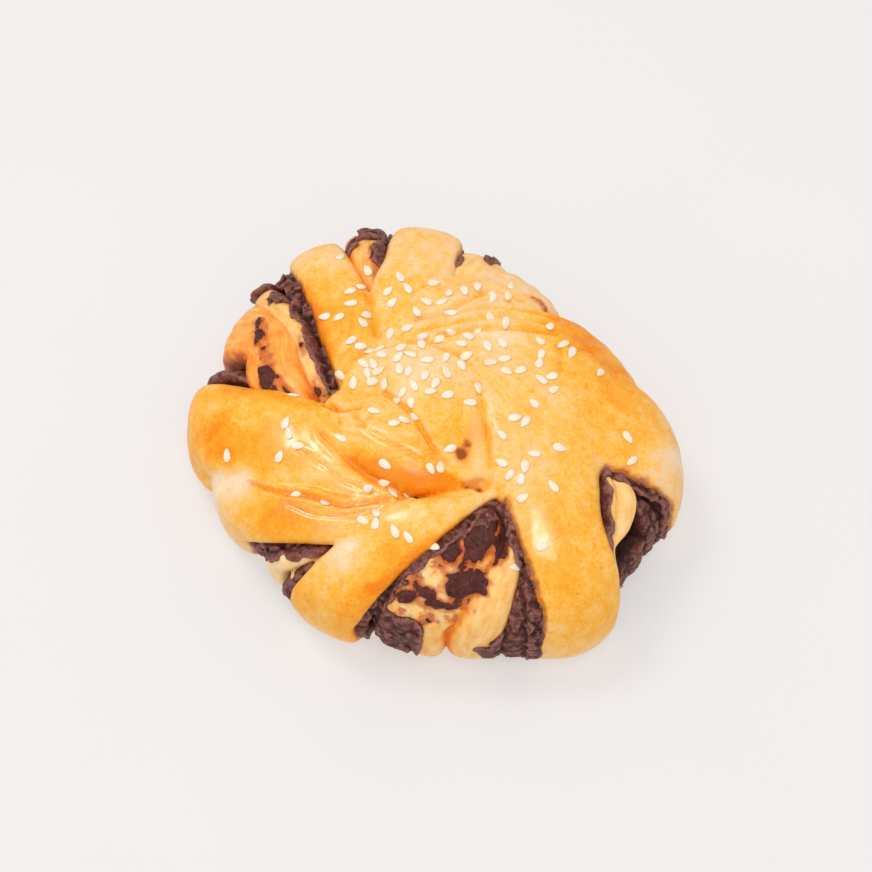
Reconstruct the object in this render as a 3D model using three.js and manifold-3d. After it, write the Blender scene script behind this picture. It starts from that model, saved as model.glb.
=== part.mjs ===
// A twisted red bean bun: straps of glazed dough swirl out of a knot at the crown, run over
// the shoulder and curl under the base. Between the straps the bun opens in lens-shaped gaps,
// where folds of inner dough and the dark bean paste show. Sesame seeds lie on the crown.
// Millimetres, +Z up. The origin is at the middle of the base, and +Y points to the back.

import * as THREE from "three";
import { mergeVertices } from "three/addons/utils/BufferGeometryUtils.js";
import Module from "manifold-3d";

const wasm = await Module();
wasm.setup();

// Driving dimensions of the bun as a whole: in plan it is an oval, a little egg-shaped
const MEAN_RADIUS = 54.6;
const OVAL = { share: 0.093, azimuth: -37, lobes: 2 };
const EGG = { share: 0.031, azimuth: -21, lobes: 3 };
const HEIGHT = 42;
const BELT_HEIGHT = 18;
const CROWN_ROUNDNESS = 2.3;
const FOOT_ROUNDNESS = 5;

// Layers, as depths below the bun's outer form
const STRAP_HALF_THICKNESS = 3.4;
const FOLD_HALF_THICKNESS = 4;
const PASTE_DEPTH = 4.6;
const CORE_DEPTH = 9.6;
const CLEARANCE = 0.35;
const PASTE_FOOT = 0.8;

// Straps and folds pass the belt, then curl in under the bun to a tail
const RIM_HEIGHT = 17;
const TAIL_HEIGHT = 2;
const TAIL_REACH = 0.85;

// The crown's cap joins the knot to the core, and the base plug joins the core to the straps' tails
const CAP = { x: 11, y: 6, radius: 28, depth: 1.6, bottom: 24 };
const PLUG = { radius: 40, height: 13, flangeRadius: 47, flangeHeight: 3, edge: 1.2 };

// Sesame seeds
const SEED = { halfLength: 1.55, halfWidth: 1.0, halfThickness: 0.6, proud: 0.25 };
const SEED_COUNT = 102;
const SEED_REACH = 0.84;
const SEED_CENTRE = { x: -6, y: 6 };
const SEED_CROWDING = 0.78;
const SEED_DEEPEST = 3;
const SEED_STEEPEST = 0.45;
const GOLDEN_ANGLE = 137.508;

// How finely the forms are faceted
const STRAP_FACETS = { around: 8, along: 10 };
const FOLD_FACETS = { around: 6, along: 7 };
const CORE_FACETS = { around: 18, along: 7 };
const PASTE_FACETS = { around: 20, along: 8 };
const SEED_FACETS = { around: 5, along: 4 };
const PLUG_FACETS = 20;

// A strap's or fold's path holds [x, y, depth, half width] from its inner end to the shoulder, and
// its rim holds [azimuth, depth, half width] at the belt. The knot's two bands stay on the crown.
// Straps go from the left of the bun round its front, right and back.
const STRAPS = [
  { path: [[-3, -20, 5, 8], [-22, -13, 0.5, 13], [-36, -9, 0, 13], [-46, -4, 0, 12.5]], rim: [178, -2, 12] },
  { path: [[-4, -25, 5, 6], [-20, -28, 2, 8.5], [-34, -26, 1, 9.5]], rim: [-157, 0, 10] },
  { path: [[14, -20, 4, 6], [-2, -29.5, 0.8, 7], [-16, -39, 0.5, 7.5]], rim: [-120, -1, 8.5] },
  { path: [[19, 2, 2, 9], [25, -12, 0.5, 12], [28, -22, 0, 12.5], [31, -32, 0, 11]], rim: [-53, -2.5, 10] },
  { path: [[13, 8, 2, 9], [31, 6, 0.5, 11], [41, 0, 0, 14.5]], rim: [0, -0.8, 12.5] },
  { path: [[2, 17, 3, 6], [18, 20, 0.8, 7], [33, 20, 0.6, 9.5]], rim: [25, 0.5, 11] },
  { path: [[-1, 20, 3, 6], [10, 27, 1, 8], [21, 31, 0.8, 9.5]], rim: [53, 0.5, 11] },
  { path: [[-8, 17, 3.5, 6], [-7, 30, 0.5, 8], [-4, 38, 0, 9.5]], rim: [90, -1.5, 8.5] },
  { path: [[-19, 1, 3, 6], [-20, 13, 1, 9], [-22.5, 32, 0, 8.4]], rim: [122.5, -1, 8.5] },
];
const KNOT = [
  { path: [[-20, 2, 2.5, 6], [-14, -8, -0.6, 9], [-6, -16, 0, 8.5], [5, -22, 3.5, 5]] },
  { path: [[-20, 9, 3, 6], [-8, 8, -0.8, 9.5], [1, 1, -0.8, 9.5], [7, -10, 0.6, 7.5], [10, -17, 4, 4.5]] },
];

// Folds of inner dough that show in the gaps, from the front left round to the back left
const FOLDS = [
  { path: [[-27, -36, 6, 3], [-32, -38, 3.4, 4.2]], rim: [-138, 2.4, 4.4] },
  { path: [[15, -24, 5, 4], [7, -38, 3, 9], [-2, -47, 2.2, 10]], rim: [-97, 1.2, 8] },
  { path: [[19, -27, 5, 3], [19, -37, 2.8, 4.5], [17, -45, 2, 5.5]], rim: [-79, 0.8, 6.5] },
  { path: [[41, -16, 5, 2.5], [42.5, -24, 3.6, 2.6]], rim: [-36, 3, 2.6] },
  { path: [[44, -16, 4.6, 3], [46, -22, 3, 3.2]], rim: [-29, 2, 3.4] },
  { path: [[7, 38, 5, 4], [10, 43, 3.4, 4]], rim: [77, 2, 5] },
  { path: [[-14, 35, 5.5, 3], [-15, 42, 2.6, 4.5]], rim: [105.5, 1, 5] },
  { path: [[-29, 0, 6, 4], [-33, 12, 3, 5.5], [-37, 25, 2.2, 6]], rim: [143, 1.2, 6.5] },
  { path: [[-44, 4, 6, 4], [-44, 15, 2.4, 6], [-43, 23, 1.8, 6]], rim: [155, 0.8, 6] },
];

const DEGREE = Math.PI / 180;
const UP = new THREE.Vector3(0, 0, 1);

// The plan outline: its radius at an azimuth in degrees, and how fast that grows with the angle
function planRadius(azimuth) {
  const wave = ({ share, azimuth: peak, lobes }) => share * Math.cos(lobes * (azimuth - peak) * DEGREE);
  return MEAN_RADIUS * (1 + wave(OVAL) + wave(EGG));
}

function planSlope(azimuth) {
  const step = 0.5;
  return (planRadius(azimuth + step) - planRadius(azimuth - step)) / (2 * step * DEGREE);
}

const azimuthOf = (point) => Math.atan2(point.y, point.x) / DEGREE;
const levelPoint = (azimuth, radius, height) =>
  new THREE.Vector3(radius * Math.cos(azimuth * DEGREE), radius * Math.sin(azimuth * DEGREE), height);

// The outer form is a superellipse over the plan outline, its roundness and reach unlike above and
// below the belt
const reachAt = (above) => (above ? HEIGHT - BELT_HEIGHT : BELT_HEIGHT);
const roundnessAt = (above) => (above ? CROWN_ROUNDNESS : FOOT_ROUNDNESS);

function domeNormal(point) {
  const rise = point.z - BELT_HEIGHT;
  const n = roundnessAt(rise > 0);
  const azimuth = azimuthOf(point);
  const radius = planRadius(azimuth);
  const outward = (Math.hypot(point.x, point.y) / radius) ** (n - 1) / radius;
  const onward = (-outward * planSlope(azimuth)) / radius;
  const upward = Math.sign(rise) * (Math.abs(rise) / reachAt(rise > 0)) ** (n - 1) / reachAt(rise > 0);
  return levelPoint(azimuth, outward, upward).add(levelPoint(azimuth + 90, onward, 0)).normalize();
}

// A point moved in from the outer form: square to it on the crown, and level below the belt
function sunk(point, depth) {
  const normal = domeNormal(point);
  normal.z = Math.max(normal.z, 0);
  return point.clone().addScaledVector(normal, -depth);
}

// The point of the outer form at an azimuth and a tilt from the crown, both in degrees
function domePoint(azimuth, tilt) {
  const above = tilt <= 90;
  const power = 2 / roundnessAt(above);
  const across = Math.abs(Math.sin(tilt * DEGREE)) ** power;
  const rise = Math.abs(Math.cos(tilt * DEGREE)) ** power * reachAt(above);
  return levelPoint(azimuth, planRadius(azimuth) * across, BELT_HEIGHT + (above ? rise : -rise));
}

// The point of the crown above a place in plan
function crownPoint(x, y) {
  const across = Math.min(Math.hypot(x, y) / planRadius(azimuthOf({ x, y })), 1);
  const rise = (1 - across ** CROWN_ROUNDNESS) ** (1 / CROWN_ROUNDNESS);
  return new THREE.Vector3(x, y, BELT_HEIGHT + reachAt(true) * rise);
}

// A closed three.js geometry as a solid, and back
function solidOf(geometry) {
  const bare = geometry.clone();
  bare.deleteAttribute("normal");
  bare.deleteAttribute("uv");
  const merged = mergeVertices(bare, 1e-4);
  return new wasm.Manifold(
    new wasm.Mesh({
      numProp: 3,
      vertProperties: merged.getAttribute("position").array,
      triVerts: new Uint32Array(merged.index.array),
    }),
  );
}

function geometryOf(solid) {
  const mesh = solid.getMesh();
  const geometry = new THREE.BufferGeometry();
  geometry.setAttribute("position", new THREE.BufferAttribute(mesh.vertProperties, 3));
  geometry.setIndex(new THREE.BufferAttribute(mesh.triVerts, 1));
  geometry.computeVertexNormals();
  return geometry;
}

const joined = (solids) => solids.reduce((whole, solid) => whole.add(solid));

// The largest body of a solid, without loose scraps or sealed bubbles
function mainBody(solid) {
  return solid.decompose().reduce((best, body) => (body.volume() > best.volume() ? body : best));
}

// A geometry with each vertex moved by a function of its place
function reshaped(geometry, move) {
  const position = geometry.getAttribute("position");
  const point = new THREE.Vector3();
  for (let i = 0; i < position.count; i += 1) {
    const moved = move(point.fromBufferAttribute(position, i), i);
    position.setXYZ(i, moved.x, moved.y, moved.z);
  }
  return geometry;
}

// A sphere laid out anew: place takes (turn, run), each from 0 to 1, to a point
function wrappedSphere(facets, place) {
  const sphere = new THREE.SphereGeometry(1, facets.around, facets.along);
  const columns = facets.around + 1;
  return reshaped(sphere, (point, i) => {
    const row = Math.floor(i / columns);
    const atPole = row === 0 || row === facets.along;
    const turn = atPole ? 0 : ((i % columns) % facets.around) / facets.around;
    return place(turn, row / facets.along);
  });
}

const rounded = (value, power) => Math.sign(value) * Math.abs(value) ** power;

// Rows of a band stand closer together towards both ends, which keeps the ends blunt
const crowdedToEnds = (row) => 0.3 * row + 0.35 * (1 - Math.cos(Math.PI * row));

// A strap or fold: a flat, crowned section swept along a spine that lies on the dome
function bandSolid({ path, rim }, halfThickness, facets, grow) {
  const spots = path.map(([x, y, depth]) => sunk(crownPoint(x, y), depth + halfThickness));
  const sizes = path.map(([, , , halfWidth]) => new THREE.Vector3(halfWidth, 0, 0));
  if (rim) {
    const [azimuth, depth, halfWidth] = rim;
    const radius = planRadius(azimuth) - depth;
    spots.push(levelPoint(azimuth, radius - halfThickness, RIM_HEIGHT));
    spots.push(levelPoint(azimuth, radius * TAIL_REACH, TAIL_HEIGHT));
    sizes.push(new THREE.Vector3(halfWidth, 0, 0), new THREE.Vector3(halfWidth * TAIL_REACH, 0, 0));
  }
  const spine = new THREE.CatmullRomCurve3(spots);
  const sizing = new THREE.CatmullRomCurve3(sizes);
  const sectionPower = 0.8;
  return solidOf(
    wrappedSphere(facets, (turn, row) => {
      const run = crowdedToEnds(row);
      const centre = spine.getPoint(run);
      const ahead = spine.getTangent(run);
      const side = new THREE.Vector3().crossVectors(ahead, domeNormal(centre)).normalize();
      const up = new THREE.Vector3().crossVectors(side, ahead);
      const taper = Math.sqrt(1 - Math.abs(2 * run - 1) ** 10);
      const angle = turn * 2 * Math.PI;
      const across = (sizing.getPoint(run).x * taper + grow) * rounded(Math.cos(angle), sectionPower);
      const lift = (halfThickness * taper + grow) * rounded(Math.sin(angle), sectionPower);
      const onward = grow * rounded(2 * run - 1, 9);
      return centre.addScaledVector(side, across).addScaledVector(up, lift).addScaledVector(ahead, onward);
    }),
  );
}

// The dome at a depth under the bun's outer form
function domeSolid(depth, facets) {
  return solidOf(wrappedSphere(facets, (turn, run) => sunk(domePoint(360 * turn, 180 * run), depth)));
}

function capSolid(grow) {
  const radius = CAP.radius + grow;
  const post = new THREE.CylinderGeometry(radius, radius, HEIGHT - CAP.bottom, PLUG_FACETS);
  post.rotateX(Math.PI / 2);
  post.translate(CAP.x, CAP.y, (HEIGHT + CAP.bottom) / 2);
  return solidOf(post).intersect(domeSolid(CAP.depth - grow, CORE_FACETS));
}

function plugSolid(grow) {
  const profile = [
    [0, 0],
    [PLUG.flangeRadius - PLUG.edge + grow, 0],
    [PLUG.flangeRadius + grow, PLUG.edge],
    [PLUG.flangeRadius + grow, PLUG.flangeHeight + grow],
    [PLUG.radius + grow, PLUG.flangeHeight + 2 * PLUG.edge + grow],
    [PLUG.radius + grow, PLUG.height + grow],
    [0, PLUG.height + grow],
  ].map(([radius, height]) => new THREE.Vector2(radius, height));
  const plug = new THREE.LatheGeometry(profile, PLUG_FACETS).rotateX(Math.PI / 2);
  return solidOf(
    reshaped(plug, (point) => {
      const azimuth = azimuthOf(point);
      const share = planRadius(azimuth) / MEAN_RADIUS;
      return levelPoint(azimuth, share * Math.hypot(point.x, point.y), point.z);
    }),
  );
}

// Everything above a level, as a block to cut with
function spaceAbove(level) {
  const block = new THREE.BoxGeometry(4 * MEAN_RADIUS, 4 * MEAN_RADIUS, 2 * HEIGHT);
  block.translate(0, 0, level + HEIGHT);
  return solidOf(block);
}

// The dough without its seeds. Grown by a little, the same forms cut the paste's hollow.
function doughSolid(grow) {
  const straps = [...STRAPS, ...KNOT].map((strap) =>
    bandSolid(strap, STRAP_HALF_THICKNESS, STRAP_FACETS, grow),
  );
  const folds = FOLDS.map((fold) => bandSolid(fold, FOLD_HALF_THICKNESS, FOLD_FACETS, grow));
  const core = domeSolid(CORE_DEPTH - grow, CORE_FACETS);
  return joined([core, capSolid(grow), plugSolid(grow), ...straps, ...folds]);
}

function pasteSolid() {
  const layer = domeSolid(PASTE_DEPTH, PASTE_FACETS).intersect(spaceAbove(PASTE_FOOT));
  return mainBody(layer.subtract(doughSolid(CLEARANCE)));
}

// A repeatable draw from 0 to 1 for seed number k
function draw(k, salt) {
  const value = Math.sin(k * 12.9898 + salt * 78.233) * 43758.5453;
  return value - Math.floor(value);
}

// One seed lying flat where a downward ray meets the dough
function seedSolid(hit, heading) {
  const { point, face } = hit;
  const seed = new THREE.SphereGeometry(1, SEED_FACETS.around, SEED_FACETS.along);
  seed.scale(SEED.halfWidth, SEED.halfLength, SEED.halfThickness);
  seed.rotateZ(heading);
  seed.applyQuaternion(new THREE.Quaternion().setFromUnitVectors(UP, face.normal));
  const rest = point.clone().addScaledVector(face.normal, SEED.proud);
  return solidOf(seed.translate(rest.x, rest.y, rest.z));
}

// Seeds lie in a loose spiral about the crown, closest together at its middle, and none in the gaps
function seedSolids(doughGeometry) {
  const target = new THREE.Mesh(doughGeometry, new THREE.MeshBasicMaterial());
  const downward = new THREE.Raycaster();
  const seeds = [];
  for (let k = 1; k <= SEED_COUNT; k += 1) {
    const azimuth = k * GOLDEN_ANGLE + 40 * draw(k, 1);
    const share = SEED_REACH * ((k - draw(k, 2)) / SEED_COUNT) ** SEED_CROWDING;
    const spot = levelPoint(azimuth, share * planRadius(azimuth), 2 * HEIGHT);
    spot.add(new THREE.Vector3(SEED_CENTRE.x, SEED_CENTRE.y, 0).multiplyScalar(1 - share));
    downward.set(spot, UP.clone().negate());
    const hit = downward.intersectObject(target)[0];
    const deep = crownPoint(spot.x, spot.y).z - hit.point.z > SEED_DEEPEST;
    if (!deep && hit.face.normal.z > SEED_STEEPEST) {
      seeds.push(seedSolid(hit, 2 * Math.PI * draw(k, 3)));
    }
  }
  return seeds;
}

function namedMesh(name, solid, material) {
  const mesh = new THREE.Mesh(geometryOf(solid), new THREE.MeshStandardMaterial(material));
  mesh.name = name;
  return mesh;
}

const bareDough = mainBody(doughSolid(0).intersect(spaceAbove(0)));
const dough = joined([bareDough, ...seedSolids(geometryOf(bareDough))]);

const bun = new THREE.Group();
bun.add(
  namedMesh("dough", dough, { color: 0xf2a845, roughness: 0.4, metalness: 0 }),
  namedMesh("bean_paste", pasteSolid(), { color: 0x4d2620, roughness: 0.6, metalness: 0 }),
);

// The box of the whole is centred over the origin
const box = new THREE.Box3().setFromObject(bun);
const middle = box.getCenter(new THREE.Vector3());
bun.children.forEach((mesh) => mesh.position.set(-middle.x, -middle.y, 0));

export default bun;
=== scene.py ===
"""A twisted red bean bun: glazed straps of dough, inner folds, bean paste and sesame seeds.

Shape classes work in millimetres, measured from the middle of the swirl, with +Z up. Finished meshes are in
metres in the part's own frame, whose origin is under the middle of the bun's box.
"""

import logging
import math
from dataclasses import dataclass, field
from enum import Enum
from functools import cached_property
from typing import Any, Callable, Iterator

import bmesh
import bpy
import numpy as np
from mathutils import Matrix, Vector
from mathutils.bvhtree import BVHTree


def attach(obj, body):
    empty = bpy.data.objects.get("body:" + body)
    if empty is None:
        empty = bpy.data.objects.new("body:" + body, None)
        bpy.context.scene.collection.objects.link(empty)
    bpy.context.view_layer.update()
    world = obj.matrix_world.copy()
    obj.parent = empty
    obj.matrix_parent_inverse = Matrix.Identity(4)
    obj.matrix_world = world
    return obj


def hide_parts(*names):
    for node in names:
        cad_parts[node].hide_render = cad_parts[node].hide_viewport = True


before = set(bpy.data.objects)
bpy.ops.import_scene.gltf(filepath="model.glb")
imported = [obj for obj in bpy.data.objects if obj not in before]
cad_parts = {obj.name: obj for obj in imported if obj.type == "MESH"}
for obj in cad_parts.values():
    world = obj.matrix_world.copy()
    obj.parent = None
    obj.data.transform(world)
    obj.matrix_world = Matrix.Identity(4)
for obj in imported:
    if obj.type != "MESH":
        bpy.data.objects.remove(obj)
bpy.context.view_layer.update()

MM = 0.001
SWIRL_MIDDLE = np.array((-1.357, -2.724, 0.0))
FAR = 9.0
MOST_TRIANGLES = 190_000
CRUST_STEP = 0.5
GAP_STEP = 0.42
LINE_SAMPLES = 24
CROWN_POWER = 2.4
PAST_SIDE = 1.3
RIDGE_SHARE = 0.4
RIDGE_PLACE = 2.2

log = logging.getLogger("red_bean_bun")


class PieceName(Enum):
    """Names of the pieces that are made here."""

    CRUST = "crust"
    FOLDS = "inner_folds"
    PASTE = "bean_paste_filling"
    SEEDS = "sesame_seeds"
    FLOOR = "floor"


class Side(Enum):
    """The two edges of a strap, as seen from the crown looking outwards."""

    LEFT = -1.0
    RIGHT = 1.0


@dataclass(frozen=True)
class Colour:
    """A colour as it is seen, in 0 to 255 steps."""

    red: float
    green: float
    blue: float

    @property
    def linear(self) -> tuple[float, float, float, float]:
        """The colour as a shader takes it."""
        return tuple(self._straight(c / 255) for c in (self.red, self.green, self.blue)) + (1.0,)

    @staticmethod
    def _straight(c: float) -> float:
        """One channel without its display curve."""
        return c / 12.92 if c <= 0.04045 else ((c + 0.055) / 1.055) ** 2.4


class Signal:
    """A number that varies over a surface. Operators on it add Math nodes."""

    def __init__(self, graph: "ShaderGraph", socket: bpy.types.NodeSocket) -> None:
        """Keeps the socket and the graph it is in."""
        self.graph = graph
        self.socket = socket

    def __add__(self, other: "Signal | float") -> "Signal":
        """Sum."""
        return self.graph.math("ADD", self, other)

    __radd__ = __add__

    def __sub__(self, other: "Signal | float") -> "Signal":
        """Difference."""
        return self.graph.math("SUBTRACT", self, other)

    def __rsub__(self, other: float) -> "Signal":
        """Difference from a number."""
        return self.graph.math("SUBTRACT", other, self)

    def __mul__(self, other: "Signal | float") -> "Signal":
        """Product."""
        return self.graph.math("MULTIPLY", self, other)

    __rmul__ = __mul__

    def rise(self, low: float, high: float) -> "Signal":
        """Smooth step.

        Args:
            low: Input where the result is 0.
            high: Input where the result is 1.

        Returns:
            The step, from 0 to 1.
        """
        settings = {"interpolation_type": "SMOOTHSTEP"}
        inputs = {"Value": self, "From Min": low, "From Max": high}
        return self.graph.signal("ShaderNodeMapRange", settings, inputs, "Result")


class ShaderGraph:
    """The node tree of one material."""

    def __init__(self, name: str) -> None:
        """Makes an empty material of that name.

        Args:
            name: The material's name.
        """
        self.material = bpy.data.materials.new(name)
        self.material.use_nodes = True
        self.tree = self.material.node_tree
        self.tree.nodes.clear()

    def node(self, kind: str, settings: dict[str, Any], inputs: dict[str, Any]) -> bpy.types.Node:
        """Adds a node.

        Args:
            kind: The node's type.
            settings: Properties, set first. "stops" gives a colour ramp's positions and colours.
            inputs: Numbers, colours, Signals or sockets, by the socket's name or identifier.

        Returns:
            The node.
        """
        made = self.tree.nodes.new(kind)
        for key, setting in settings.items():
            if key == "stops":
                self._set_stops(made.color_ramp, setting)
            else:
                setattr(made, key, setting)
        for key, given in inputs.items():
            socket = self._socket(made.inputs, key)
            source = given.socket if isinstance(given, Signal) else given
            if isinstance(source, bpy.types.NodeSocket):
                self.tree.links.new(source, socket)
            else:
                socket.default_value = source
        return made

    def signal(self, kind: str, settings: dict[str, Any], inputs: dict[str, Any], output: str) -> Signal:
        """A node's output as a Signal."""
        return Signal(self, self._socket(self.node(kind, settings, inputs).outputs, output))

    def math(self, operation: str, a: Signal | float, b: Signal | float) -> Signal:
        """A Math node on two values."""
        return self.signal("ShaderNodeMath", {"operation": operation}, {"Value": a, "Value_001": b}, "Value")

    def attribute(self, name: str) -> Signal:
        """A number that the mesh holds at each vertex."""
        return self.signal("ShaderNodeAttribute", {"attribute_name": name}, {}, "Fac")

    def vector(self, name: str) -> bpy.types.NodeSocket:
        """A vector that the mesh holds at each vertex."""
        return self.node("ShaderNodeAttribute", {"attribute_name": name}, {}).outputs["Vector"]

    def ramp(self, tone: Signal, stops: list[tuple[float, Colour]]) -> bpy.types.NodeSocket:
        """Colours along a ramp, picked by a number."""
        return self.node("ShaderNodeValToRGB", {"stops": stops}, {"Fac": tone}).outputs["Color"]

    def place(self) -> bpy.types.NodeSocket:
        """Object coordinates, in metres."""
        return self.node("ShaderNodeTexCoord", {}, {}).outputs["Object"]

    def noise(self, place: bpy.types.NodeSocket, size_mm: float, detail: float = 2.0) -> Signal:
        """Soft noise about zero.

        Args:
            place: Coordinates in metres.
            size_mm: Rough size of its blots.
            detail: How many finer layers it has.

        Returns:
            Values mostly from -0.5 to 0.5.
        """
        inputs = {"Vector": place, "Scale": 1 / (size_mm * MM), "Detail": detail, "Roughness": 0.55}
        return self.signal("ShaderNodeTexNoise", {}, inputs, "Fac") - 0.5

    def mix(self, share: Signal, under: Any, over: Any) -> bpy.types.NodeSocket:
        """One colour laid over another.

        Args:
            share: How much of the upper colour shows.
            under: Lower colour, or its socket.
            over: Upper colour, or its socket.

        Returns:
            The mixed colour's socket.
        """
        inputs = {"Factor_Float": share, "A_Color": under, "B_Color": over}
        made = self.node("ShaderNodeMix", {"data_type": "RGBA", "clamp_factor": True}, inputs)
        return self._socket(made.outputs, "Result_Color")

    def bump(self, height: Signal, depth_mm: float, strength: float) -> bpy.types.NodeSocket:
        """Fine relief from a height that varies about zero."""
        inputs = {"Height": height, "Distance": depth_mm * MM, "Strength": strength}
        return self.node("ShaderNodeBump", {}, inputs).outputs["Normal"]

    def surface(self, inputs: dict[str, Any]) -> bpy.types.Material:
        """Ends the tree in a Principled shader.

        Args:
            inputs: The shader's inputs, by name.

        Returns:
            The finished material.
        """
        shader = self.node("ShaderNodeBsdfPrincipled", {}, inputs)
        self.node("ShaderNodeOutputMaterial", {}, {"Surface": shader.outputs["BSDF"]})
        return self.material

    @staticmethod
    def _socket(sockets: Any, key: str) -> bpy.types.NodeSocket:
        """The socket with that identifier, or else with that name."""
        by_identifier = [s for s in sockets if s.identifier == key]
        return by_identifier[0] if by_identifier else sockets[key]

    @staticmethod
    def _set_stops(ramp: bpy.types.ColorRamp, stops: list[tuple[float, Colour]]) -> None:
        """Gives a colour ramp its stops.

        Args:
            ramp: The ramp.
            stops: Positions and colours.
        """
        while len(ramp.elements) < len(stops):
            ramp.elements.new(1.0)
        for element, (position, colour) in zip(ramp.elements, stops):
            element.position = position
            element.color = colour.linear


@dataclass(frozen=True)
class CrustFinish:
    """Egg-washed crust, from pale sides through gold to deep orange."""

    raw: Colour = Colour(250, 222, 186)
    pale: Colour = Colour(251, 208, 160)
    straw: Colour = Colour(252, 195, 108)
    gold: Colour = Colour(252, 180, 60)
    amber: Colour = Colour(250, 160, 32)
    orange: Colour = Colour(243, 134, 8)
    # Brown serves the paste-stained lips and painted crease shade along the grooves.
    brown: Colour = Colour(212, 100, 14)
    stain: Colour = Colour(132, 54, 32)
    thin: Colour = Colour(236, 198, 146)

    def material(self) -> bpy.types.Material:
        """Builds the material.

        The mesh gives bake, lip, crease, seam, stain, veil, gloss, pucker and swirl. Crease and seam deepen
        the colour in hollows and pressed grooves as painted crease shade.

        Returns:
            The material.
        """
        graph = ShaderGraph("egg_washed_crust")
        place = graph.place()
        cloud = graph.noise(place, 9.0, 3.0)
        mottle = graph.noise(place, 2.4, 4.0)
        grain = graph.noise(place, 0.6, 2.0)
        swirl = graph.vector("swirl")
        crease = graph.attribute("crease")
        streak = graph.noise(swirl, 2.0, 3.0) + graph.noise(swirl, 5.5, 2.0)
        spots = 0.3 * cloud + 0.5 * mottle + 0.28 * streak + 0.34 * grain
        # The crease term deepens the colour in the hollows: painted crease shade.
        tone = graph.attribute("bake") + spots + 0.16 * crease
        crust = graph.ramp(tone, [
            (0.04, self.raw), (0.24, self.pale), (0.44, self.straw), (0.59, self.gold), (0.76, self.amber),
            (0.95, self.orange),
        ])
        patch = graph.noise(place, 14.0, 1.0).rise(-0.06, 0.1)
        freckle = graph.noise(place, 1.9, 1.0).rise(0.12, 0.24) * patch
        crust = graph.mix(0.55 * freckle * tone.rise(0.35, 0.55), crust, self.orange.linear)
        veil = (graph.attribute("veil") + 1.1 * mottle + 0.9 * cloud).rise(0.15, 1.0)
        crust = graph.mix(0.62 * veil, crust, self.thin.linear)
        smear = graph.noise(place, 1.5, 3.0)
        # Brown along the pressed grooves: painted crease shade.
        seam = graph.attribute("seam") + 0.8 * smear
        crust = graph.mix(0.7 * seam.rise(0.6, 1.1), crust, self.brown.linear)
        lip = graph.attribute("lip") + 0.7 * smear
        crust = graph.mix(0.42 * lip.rise(0.3, 0.75), crust, self.brown.linear)
        crust = graph.mix(0.6 * lip.rise(0.7, 1.05), crust, self.stain.linear)
        stain = graph.attribute("stain") + 0.8 * smear
        crust = graph.mix(0.7 * stain.rise(0.1, 0.6), crust, self.orange.linear)
        crust = graph.mix(0.85 * stain.rise(0.45, 1.0), crust, self.stain.linear)
        crinkle = graph.noise(swirl, 0.9, 3.0) * (0.15 + graph.attribute("pucker"))
        return graph.surface({
            "Base Color": crust,
            "Roughness": 0.45 + 0.2 * mottle + 0.1 * crease,
            "IOR": 1.4,
            "Specular IOR Level": 0.16,
            "Subsurface Weight": 0.1,
            "Subsurface Radius": (1.0, 0.42, 0.16),
            "Subsurface Scale": 0.002,
            "Coat Weight": 0.08 + graph.attribute("gloss") * (0.8 + 2.2 * mottle),
            "Coat IOR": 1.75,
            "Coat Roughness": 0.2,
            "Normal": graph.bump(0.6 * crinkle + 0.45 * grain + 0.75 * mottle, 0.24, 0.8),
        })


@dataclass(frozen=True)
class PasteFinish:
    """Dark bean paste, dull and granular, with a faint moist sheen."""

    # The darkest and lightest colours also stand for painted shade in hollows and deep gaps and painted
    # light on crumb tops.
    deep: Colour = Colour(46, 16, 12)
    body: Colour = Colour(92, 45, 38)
    pale_and_lit: Colour = Colour(160, 104, 92)
    # The speck colour is painted glints on the lit crumbs.
    painted_glint: Colour = Colour(176, 134, 122)
    oiled: Colour = Colour(120, 44, 20)

    def colour(self, graph: ShaderGraph, tone: Signal) -> bpy.types.NodeSocket:
        """The paste's colour.

        Args:
            graph: The material's nodes.
            tone: How light it is; the paste's mesh gives painted shade, near 0 in hollows and deep gaps, and
                painted light, near 1 on crumb tops.

        Returns:
            The colour's socket.
        """
        place = graph.place()
        grain = graph.noise(place, 0.7, 3.0)
        blot = graph.noise(place, 3.2, 3.0)
        stops = [(0.0, self.deep), (0.45, self.body), (1.0, self.pale_and_lit)]
        paste = graph.ramp(tone + 0.5 * blot + 0.9 * grain, stops)
        paste = graph.mix(0.6 * graph.noise(place, 3.0, 3.0).rise(0.06, 0.2), paste, self.oiled.linear)
        # Light specks on the lit tones only: painted glints.
        painted_glint = graph.noise(place, 0.45, 2.0).rise(0.12, 0.26) * tone.rise(0.2, 0.6)
        return graph.mix(0.4 * painted_glint, paste, self.painted_glint.linear)

    def material(self) -> bpy.types.Material:
        """Builds the material.

        The mesh gives crest, high on the crumbs, and sunk, high deep in the gaps: painted light on the crumb
        tops and painted shade in the hollows and deep gaps.

        Returns:
            The material.
        """
        graph = ShaderGraph("bean_paste")
        place = graph.place()
        # Crest and sunk paint light on the crumb tops and shade in the hollows and deep gaps.
        crest = graph.attribute("crest") * (1 - 0.8 * graph.attribute("sunk"))
        grain = graph.noise(place, 0.7, 3.0)
        return graph.surface({
            "Base Color": self.colour(graph, 0.9 * crest - 0.3 * graph.attribute("sunk")),
            "Roughness": 0.5 + 0.5 * grain,
            "Specular IOR Level": 0.2,
            "Coat Weight": (0.08 + 0.6 * graph.noise(place, 1.2, 2.0)) * crest,
            "Coat Roughness": 0.25,
            "Normal": graph.bump(1.2 * grain + 0.6 * graph.noise(place, 1.6, 2.0), 0.5, 1.0),
        })


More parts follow.
